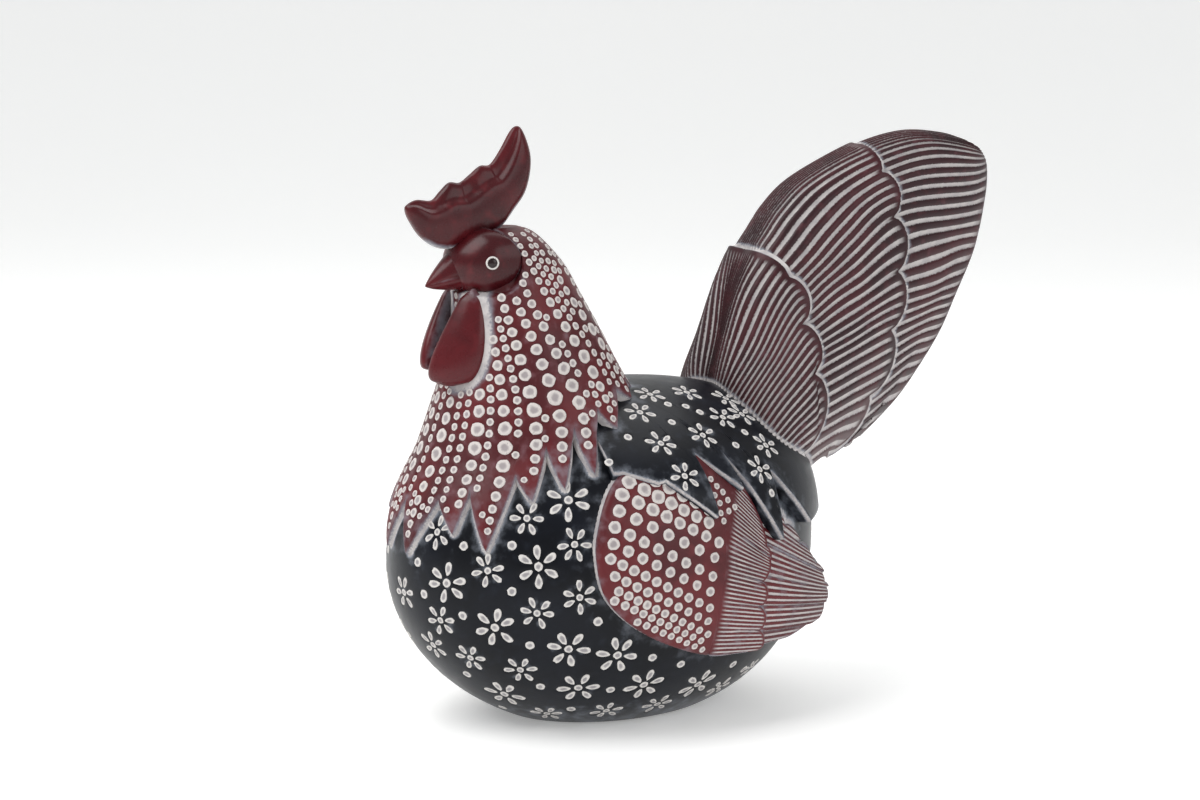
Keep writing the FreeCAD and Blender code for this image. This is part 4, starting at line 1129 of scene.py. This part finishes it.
inner_rib = level_at(30.0, [30, 53, 67, 82, 95], [-0.1, -0.26, -0.39, -0.8, -1.1]) / inner_pitch
outer_level = level_at(60.0, [30, 33.5, 48.7, 65, 80], [-0.06, -0.077, -0.195, -0.49, -0.75])
outer_rib = outer_level / outer_pitch
feather_levels = np.array([31.0, 36.2, 46.5, 56.5, 66.0, 75.0, 82.0, 90.0])
feather = np.searchsorted(feather_levels, outer_level)
above = np.append(feather_levels, 98.0)[feather] - outer_level
feather_step = 1.2 * np.clip(1 - above / 8, 0, 1)
bare = 0.5 + 0.32 * np.clip(flight_z - 76, 0, 30)
seam_gap = flat_gap(flight_flat, seam_ring)
inner_levels = np.array([31.5, 41.3, 52.2, 62.9, 77.5])
inner_level = inner_rib * inner_pitch
inner_feather = np.searchsorted(inner_levels, inner_level)
inner_above = np.append(inner_levels, 200.0)[inner_feather] - inner_level
inner_step = 0.9 * np.clip(1 - inner_above / 7, 0, 1) * ramp(seam_gap, 4.0, 16.0)
flight_rib = np.where(inner_row > 0.5, inner_rib, outer_rib)
flight_gap = flat_gap(flight_flat, wing_ring)
row_gap = np.abs(flight_y - row_end)
flight_cut = ramp(flight_gap, 0.5, 1.8) * ramp(seam_gap, bare, bare + 3.5)
flight_cut = flight_cut * np.where(flight_y < row_end, ramp(row_gap, 1.2, 2.4),
                                   ramp(row_gap, 0.8, 2.0))
outer_row = flight_y > row_end
flight_wash = most(fading(flight_gap, 0.8, 1.0), 0.12,
                   fading(np.where(outer_row, row_gap, 8 * row_gap), 0.9, 1.1),
                   0.75 * np.exp(-above / 1.1) * outer_row,
                   fading(inner_above, 0.6, 1.1) * inner_row * ramp(seam_gap, 5.0, 12.0))
flight_depth = (outer_sink + feather_step) * (1 - inner_row) + inner_step * inner_row
flight_depth = flight_depth + 0.7 * rounded(flight_gap) - 0.1 * flight_cut
phase = flight_rib - np.floor(flight_rib)
flight_groove = 1 - ramp(np.abs(phase - 0.5), 0.12, 0.34)
flight_depth = flight_depth + wing_cut_depth * flight_cut * flight_groove
wing_piece("flight_skin", "wing_flights", flight_flat, flight_depth, flight_wash, flight_rib,
           flight_cut)

# Saddle: rays from inside the body, from straight up down to the saw-tooth edge
saddle_centre = np.array([0.0, -17.0, 70.0])
saddle_columns = circle(720)
saddle_rows, least_share, most_tilt = 130, 0.01, 1.9
tilt_samples = np.linspace(least_share, most_tilt, 320)[:, None]


def saddle_skin(tilts):
    """Where rays tilted from straight up, one to a column, leave the saddle's form."""
    rays = np.stack([np.sin(tilts) * np.sin(saddle_columns),
                     -np.sin(tilts) * np.cos(saddle_columns),
                     np.cos(tilts) * np.ones_like(saddle_columns)], -1)
    return saddle_centre + rays * reach_out(saddle_value, saddle_centre, rays)[..., None]


def under_saddle(tilts):
    """Whether those places lie inside the saddle's outline in the side view."""
    return inside_outline(saddle_skin(tilts)[..., 1:], saddle_outline)


covered = under_saddle(tilt_samples)
ends = np.where(covered.all(0), len(covered) - 1, (~covered).argmax(0))
end_tilt = tilt_samples[np.maximum(ends - 1, 0), 0]
low_tilt, _ = halve(under_saddle, end_tilt, end_tilt + (most_tilt - least_share) / 319, 12)
saddle = saddle_skin(low_tilt * np.linspace(least_share, 1, saddle_rows)[:, None])
saddle_normals = unit(slope(saddle_value, saddle))
saddle_rim = saddle[-1]
saddle_stamps = Stamps()
on_saddle = seen(saddle_value, saddle_flowers)
far_saddle = mirrored(on_saddle, on_saddle, saddle_gap)
add_flowers(saddle_stamps, saddle_value, np.concatenate([on_saddle, far_saddle]), saddle_size)
single = seen(saddle_value, saddle_dots)
single_far = mirrored(single, np.concatenate([on_saddle, far_saddle, single]), saddle_dot_gap)
add_dots(saddle_stamps, saddle_value, np.concatenate([single, single_far]), saddle_dot_radius)
saddle_stamps.dishes("saddle_flowers", chalk)
pressed = saddle_stamps.press(saddle, saddle_normals, punch_depth)
away = flattened(saddle_rim - saddle[-4], saddle_normals[-1])
skirts = skirt(saddle_rim, away, saddle_normals[-1],
               ((0.25, 0.15), (0.6, 0.6), (0.8, 1.5), (0.8, 2.7), (0.7, 7.0)))
surface = np.concatenate([pressed, skirts])
saw_gap = distance_to(saddle, resample(saddle_rim, 400, True))
petal_gap = distance_to(saddle, saddle_stamps.table()[:, :3])
saddle_wash = most(fading(saw_gap, 0.5, 0.8), fading(saw_gap, 0.25, 5.0),
                   fading(distance_to(saddle, hem), 0.6, 3.0), fading(petal_gap, 0.3, 0.7, 1.4))
skirt_wash = rows_of([0.6, 0.95, 0.85, 0.25, 0.2], len(saddle_columns))
saddle_wash = np.concatenate([saddle_wash, skirt_wash])
skin("saddle_surface", "saddle_hackle", surface, navy, saddle_wash, (True, False))

# Tail
tail_base = (tail_root_reach, foot_z + tail_root_rise, tail_length, tail_height)
lead_line = side_points(tail_lead_shares, *tail_base)
trail_line = side_points(tail_trail_shares, *tail_base)
stations = np.arange(len(lead_line))


def tail_surface(station, angle, lift):
    """Points of the lens-shaped tail: angle 0 at the leading edge, pi at the trailing edge, and
    half thickness times sqrt(a) (1 - a) sqrt(27) / 2 plus a blunt edge, a the share across."""
    first = curve(stations, lead_line, station)
    last = curve(stations, trail_line, station)
    along = unit(last - first)
    first = first - along * np.asarray(lift)[..., None]
    share = (1 - np.cos(angle)) / 2
    belly = np.sqrt(share) * (1 - share) * math.sqrt(27) / 2
    thick = tail_half_thickness * curve(stations, tail_thick_shares, station) + lift
    half = thick * belly + tail_edge_half_thickness * np.sin(np.abs(angle))
    half = half * np.sqrt(np.clip((last_station - station) / tip_stations, 0, 1))
    flat = first + (last - first) * share[..., None]
    return np.concatenate([(np.sign(angle) * half)[..., None], flat], -1)


grid_station, grid_angle = np.meshgrid(np.linspace(0, last_station, 301),
                                       np.linspace(0, np.pi, 361), indexing="ij")
level_grid = np.zeros(grid_station.shape)
grid_pixels = {lift: pixel_of(tail_surface(grid_station, grid_angle, level_grid + lift))
               for lift in (0.0, mid_lift, inner_lift)}
point_lifts = [inner_lift] * 3 + [mid_lift] * 3 + [0.0] * 2
rib_knots = len(point_lifts) + 2

# Each rib as (station, angle) points, drawn out to the root and to the trailing edge
rib_lines = []
for line in rib_pixels:
    found = []
    for pixel, lift in zip(line, point_lifts):
        miss = np.hypot(*np.moveaxis(grid_pixels[lift] - np.array(pixel), -1, 0))
        at = np.unravel_index(np.argmin(miss), miss.shape)
        found.append((grid_station[at], grid_angle[at]))
    found = np.array(found)
    start_step = found[1] - found[0]
    first = found[0] - start_step * (found[0, 0] + 0.3) / max(start_step[0], 0.2)
    end_step = found[-1] - found[-2]
    rest = (np.pi - found[-1, 1]) / end_step[1]
    last = found[-1] + end_step * rest * [0.45, 1.0]
    rib_lines.append(np.concatenate([[first], found, [last]]))
leading = np.stack([np.linspace(-0.3, last_station, rib_knots), np.zeros(rib_knots)], -1)
lowest = rib_lines[-1] + (rib_lines[-1] - rib_lines[-2]) * 0.9
ribs = np.array([leading] + rib_lines + [lowest])
ribs[..., 0] = np.clip(ribs[..., 0], 0.0, last_station)
ribs[..., 1] = np.clip(ribs[..., 1], 0.0, np.pi)

# The family of lines between the ribs, as rows along and columns across them
per_rib = 8
rib_at = np.linspace(0, rib_numbers[-1], int(rib_numbers[-1]) * per_rib + 1)
family = curve(rib_numbers, ribs.reshape(len(ribs), -1), rib_at)
family = np.moveaxis(family.reshape(len(rib_at), rib_knots, 2), 1, 0).reshape(rib_knots, -1)
along_at = np.linspace(0, rib_knots - 1, 700)
family = curve(np.arange(rib_knots), family, along_at)
family = family.reshape(len(along_at), len(rib_at), 2)
family[..., 1] = np.clip(family[..., 1], 0.0, np.pi - 0.001)
family[..., 0] = np.clip(family[..., 0], 0.0, last_station)

# Points of the saddle close to the tail, where whitewash stays in the corner round the tail's foot
saddle_near = surface.reshape(-1, 3)
tail_foot = tail_surface(family[..., 0], family[..., 1], np.zeros(family.shape[:-1]))
tail_foot = tail_foot.reshape(-1, 3)[::40]
tail_foot = tail_foot[tail_foot[:, 2] < saddle_near[:, 2].max() + foot_reach]
tail_foot = np.concatenate([tail_foot, tail_foot * mirror])
saddle_near = saddle_near[distance_to(saddle_near, tail_foot) < foot_reach]


def tail_tier(name, node, lift, zone, above, rows):
    """A tier of the tail: columns along its ribs, cut off at a row of scallops where one is given.
    Whitewash stays in the corner under the scallops of the tier above."""
    raised = min(lift, 0.3) + max(lift - 0.3, 0.0) * ramp(family[..., 1], 0.0, 0.4)
    raw = tail_surface(family[..., 0], family[..., 1], raised)
    if zone is None:
        last = np.full(len(rib_at), len(along_at) - 1.0)
    else:
        inside = inside_outline(raw[..., 1:], zone)
        inside[0] = True
        last = np.where(inside.all(0), len(along_at) - 1, (~inside).argmax(0)).astype(float)
    columns = []
    for column, end in enumerate(last):
        line = raw[:int(end) + 1, column]
        columns.append(resample(line, rows) if len(line) > 1 else np.repeat(line, rows, 0))
    half = np.stack(columns, 1)
    full = np.concatenate([half[:, :0:-1] * mirror, half], 1)
    numbers = np.concatenate([rib_at[:0:-1], rib_at]) + 0.5
    normals = normals_of(full, False, np.array([0, 95.0, 150.0]))
    phase = numbers - np.floor(numbers)
    end_gap = np.linalg.norm(full - full[-1:], axis=2)
    cut = ramp(end_gap, 1.2, 3.2) if zone is not None else ramp(end_gap, 0.2, 1.2)
    cut = cut * (0.35 + 0.65 * ramp(end_gap, 0, 6))
    groove = tail_cut_depth * cut * (1 - ramp(np.abs(phase - 0.5), 0.12, 0.3))
    full = full - normals * groove[..., None]
    low = full[..., 2] < saddle_near[:, 2].max() + foot_reach
    wash = np.full(low.shape, 0.05)
    wash[low] = np.maximum(wash[low], fading(distance_to(full[low], saddle_near), 0.95, 0.7, 1.0))
    if above is not None:
        corner = flat_gap(full[..., 1:], resample(above, 400, True))
        wash = np.maximum(wash, fading(corner, 0.95, 0.8, 1.9))
    if zone is None:
        wash = np.maximum(wash, fading(end_gap, 0.5, 1.0))
    else:
        away = flattened(full[-1] - full[-5], normals[-1])
        full = np.concatenate([full, skirt(full[-1], away, normals[-1],
                                           ((0.3, 0.15), (0.6, 0.9), (1.2, 1.75), (2.3, 2.2)))])
        wash = np.concatenate([wash, rows_of([0.3, 1.0, 1.0, 1.0], wash.shape[1])])
        cut = np.concatenate([cut, np.zeros((4, cut.shape[1]))])
    skin(name, node, full, maroon, wash, (False, False), False, numbers, cut)


def tier_outline(cusp_shares):
    cusps = side_points(cusp_shares, *tail_base)
    arc = scallops(cusps, scallop_bulge_share)
    return np.concatenate([arc, [(cusps[-1, 0], foot_z), (-20.0, foot_z), (-20.0, cusps[0, 1])]])


mid_zone, inner_zone = tier_outline(mid_cusp_shares), tier_outline(inner_cusp_shares)
tail_tier("tail_core_skin", "tail_core", 0.0, None, mid_zone, 150)
tail_tier("tail_mid_skin", "tail_mid_tier", mid_lift, mid_zone, inner_zone, 130)
tail_tier("tail_inner_skin", "tail_inner_tier", inner_lift, inner_zone, None, 110)

# Head: an egg, drawn in where the hood covers it
tall = np.linspace(0, np.pi, 121)[1:-1, None]
wide = circle(180)
ball = np.stack([np.sin(tall) * np.cos(wide), -np.cos(tall) * np.ones_like(wide),
                 np.sin(tall) * np.sin(wide)], -1)
head_centre = np.array([0.0, -head_lead, foot_z + head_rise])
ball = np.sign(ball) * np.abs(ball) ** (1 - (1 - head_fullness) * ramp(ball[..., 1:2], -0.8, 0.0))
head = head_centre + ball * [head_half_width, head_half_length, head_half_height]
covered = ramp(face_share(head), 0.97, 1.06)
head = head_centre + (head - head_centre) * (1 - head_cover * covered)[..., None]
head_wash = 0.8 * np.exp(-np.abs(face_share(head) - 1.0) * 26)
head_wash = head_wash * ramp(head[..., 1], -face_lead - 4, -face_lead + 5)
skin("head_surface", "head", head, gloss, head_wash)

# Beak: ovals that shrink to a rounded tip, with a crease between its halves
way = np.linspace(0, 1, 60)[:, None]
width = curve(beak_rise_shares, beak_width_shares, way[:, 0])[:, None]
width = width * np.sqrt(1 - way ** 12 + 0.02)
mouth = 1 - 0.1 * np.exp(-((np.cos(ring_turn) + 0.22) / 0.13) ** 2) * ramp(way, 0.05, 0.25)
level = np.cos(ring_turn) * (1 + 0.3 * (1 - way) * (np.cos(ring_turn) > 0))
beak = np.stack([beak_half_width * width * np.sin(ring_turn) * mouth,
                 (-head_lead - beak_lead - beak_length * way) * np.ones_like(ring_turn),
                 foot_z + head_rise - beak_drop - beak_dip * way ** 1.5
                 + beak_half_height * width * level], -1)
beak_wash = np.maximum(0.35 * (1 - ramp(way, 0.1, 0.25)), 1.5 * (1 - mouth))
skin("beak_surface", "beak", beak, gloss, beak_wash)

# Comb: ovals from its low edge to its top edge
comb_base = (-comb_lead, foot_z + comb_rise, comb_length, comb_height)
comb_end = len(comb_thick_shares) - 1
comb_at = np.linspace(0, comb_end, 200)
tops = smooth_line(side_points(comb_top_shares, *comb_base), len(comb_at))
lows = smooth_line(side_points(comb_low_shares, *comb_base), len(comb_at))
ends_round = np.sqrt(1 - np.abs(2 * comb_at / comb_end - 1) ** 26 * 0.92)[:, None]
thick = comb_half_thickness * curve(np.arange(comb_end + 1), comb_thick_shares, comb_at)[:, None]
middle, half = (tops + lows) / 2, (tops - lows) / 2
level = np.cos(ring_turn)[None]
bumps = np.cos(np.interp(comb_at, [0, 2.0, 4.6, 5.2, 7.3, 8.0, 11.0],
                         [3.1, 3.14, 6.28, 9.42, 12.57, 15.7, 18.9]))
crease = 1 - 0.16 * ramp(level, 0.15, 0.75) * ramp(bumps, 0.1, -0.9)[:, None]
flat = middle[:, None] + half[:, None] * (level * ends_round)[..., None]
crest = 1 - 0.36 * ramp(level, 0.3, 0.6)
comb = np.concatenate([(thick * ends_round * crease * crest * np.sign(np.sin(ring_turn))
                        * np.abs(np.sin(ring_turn)) ** 0.85)[..., None], flat], -1)
comb_wash = 0.8 * ramp(-level, 0.75, 1.0) * ramp(comb_at, 1.5, 3)[:, None]
comb_wash = comb_wash * (1 - ramp(comb_at, 8.5, 9.5))[:, None]
skin("comb_surface", "comb", comb, gloss, comb_wash)

# Eyes: a raised ring of whitewash round a glossy bead
eye_miss = np.hypot(head[..., 1] + eye_lead, head[..., 2] - foot_z - eye_rise)
eye_miss = eye_miss + 99 * (head[..., 0] < 0)
eye_at = np.unravel_index(np.argmin(eye_miss), eye_miss.shape)
eye_surface, eye_normal = head[eye_at][0], normals_of(head, True, head_centre)[eye_at]


def turned(profile, centre, axis, count=48):
    """Rings round an axis from a profile of (radius, height)."""
    profile = np.asarray(profile, float)
    first = unit(np.cross(axis, [0, 0, 1.0]))
    second = np.cross(axis, first)
    turn = circle(count)
    spokes = first * np.cos(turn)[:, None] + second * np.sin(turn)[:, None]
    return centre + axis * profile[:, 1, None, None] + spokes[None] * profile[:, 0, None, None]


for side, word in sides:
    axis = eye_normal * [side, 1, 1]
    centre = np.array([side * eye_surface, -eye_lead, foot_z + eye_rise])
    ring_profile = [(eye_ring_radius, -1.2), (eye_ring_radius, 0.0), (2.52, 0.3), (2.3, 0.45),
                    (2.08, 0.42), (1.92, 0.2), (1.85, -0.2)]
    ring_points = turned(ring_profile, centre, axis)
    ring_piece = grid_object(word + "_eye_ring", ring_points, chalk, True, (False, False), ring=0.9)
    bead_turn = np.linspace(0.1, np.pi / 2, 12)
    bead_profile = np.stack([eye_bead_radius * np.sin(bead_turn),
                             -0.15 + 0.75 * np.cos(bead_turn)], -1)
    skin(word + "_eye_bead", word + "_eye", turned(bead_profile, centre, axis), pupil, 0.0,
         (True, False))
    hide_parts(word + "_eye")

# Pieces that stay as they are in the frame
for node, material in (("felt_pad", felt), ("base_plate", board), ("vent_plug", rubber),
                       ("neck_plug", beech), ("head_dowel", beech), ("comb_dowels", beech),
                       ("wing_dowels", beech), ("tail_dowels", beech)):
    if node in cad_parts:
        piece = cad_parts[node]
        piece.data.materials.clear()
        piece.data.materials.append(material)

# Floor, light and camera
front_reach, back_start, sweep_radius = 4000.0, 1500, 1500
wall_height, half_width = 5000.0, 6000
sweep = np.linspace(0, np.pi / 2, 24)
run = np.concatenate([[-front_reach], back_start + sweep_radius * np.sin(sweep),
                      [back_start + sweep_radius]])
rise = np.concatenate([[0.0], sweep_radius - sweep_radius * np.cos(sweep), [wall_height]])
behind = np.array([-to_camera[0], -to_camera[1], 0.0]) / math.cos(elevation)
width = np.linspace(-half_width, half_width, 3)
cove = (behind * run[:, None, None] + to_right * width[:, None]
        + np.array([0, 0, 1.0]) * rise[:, None, None])
floor = grid_object("floor", cove, backdrop, part=False)

world = bpy.data.worlds.new("studio")
bpy.context.scene.world = world
world.use_nodes = True
studio_colour, studio_strength = world.node_tree.nodes["Background"].inputs[:2]
studio_colour.default_value, studio_strength.default_value = linear("#f6f8fa"), 0.5


def stand(thing, right, up, back, place):
    """Put a light or camera at a place in metres, with its own axes along right, up and back."""
    matrix = np.eye(4)
    matrix[:3] = np.stack([right, up, back, place], 1)
    thing.matrix_world = Matrix(matrix.tolist())
    bpy.context.collection.objects.link(thing)


def soft_box(name, place, aim, width, height, power):
    """An area light that faces a point."""
    light = bpy.data.lights.new(name, "AREA")
    light.shape, light.energy = "RECTANGLE", power
    light.size, light.size_y = width * MM, height * MM
    lamp = bpy.data.objects.new(name, light)
    place, aim = np.array(place) * MM, np.array(aim) * MM
    forward = unit(aim - place)
    side = unit(np.cross(forward, [0, 0, 1.0]))
    stand(lamp, side, np.cross(side, forward), -forward, place)


middle_point = (0.0, 10.0, 110.0)
# Each lamp: millimetres towards the camera, to the right and up, its width and height, and watts
for name, near, right, up, width, height, power in (
        ("key", 500, -700, 900, 900, 900, 11), ("fill", 700, 800, 300, 900, 700, 3),
        ("top", -250, 0, 1100, 1200, 800, 5)):
    place = photo_aim + to_camera * near + to_right * right + to_top * up
    soft_box(name, place, middle_point, width, height, power)

camera_data = bpy.data.cameras.new("camera")
camera_data.sensor_width = sensor_width
camera_data.lens = photo_scale * photo_distance * sensor_width / photo_width
camera_data.clip_end = clip_end
camera = bpy.data.objects.new("camera", camera_data)
stand(camera, to_right, to_top, to_camera, camera_place * MM)
bpy.context.scene.camera = camera
bpy.context.scene.view_settings.view_transform = "Standard"

bpy.context.view_layer.update()
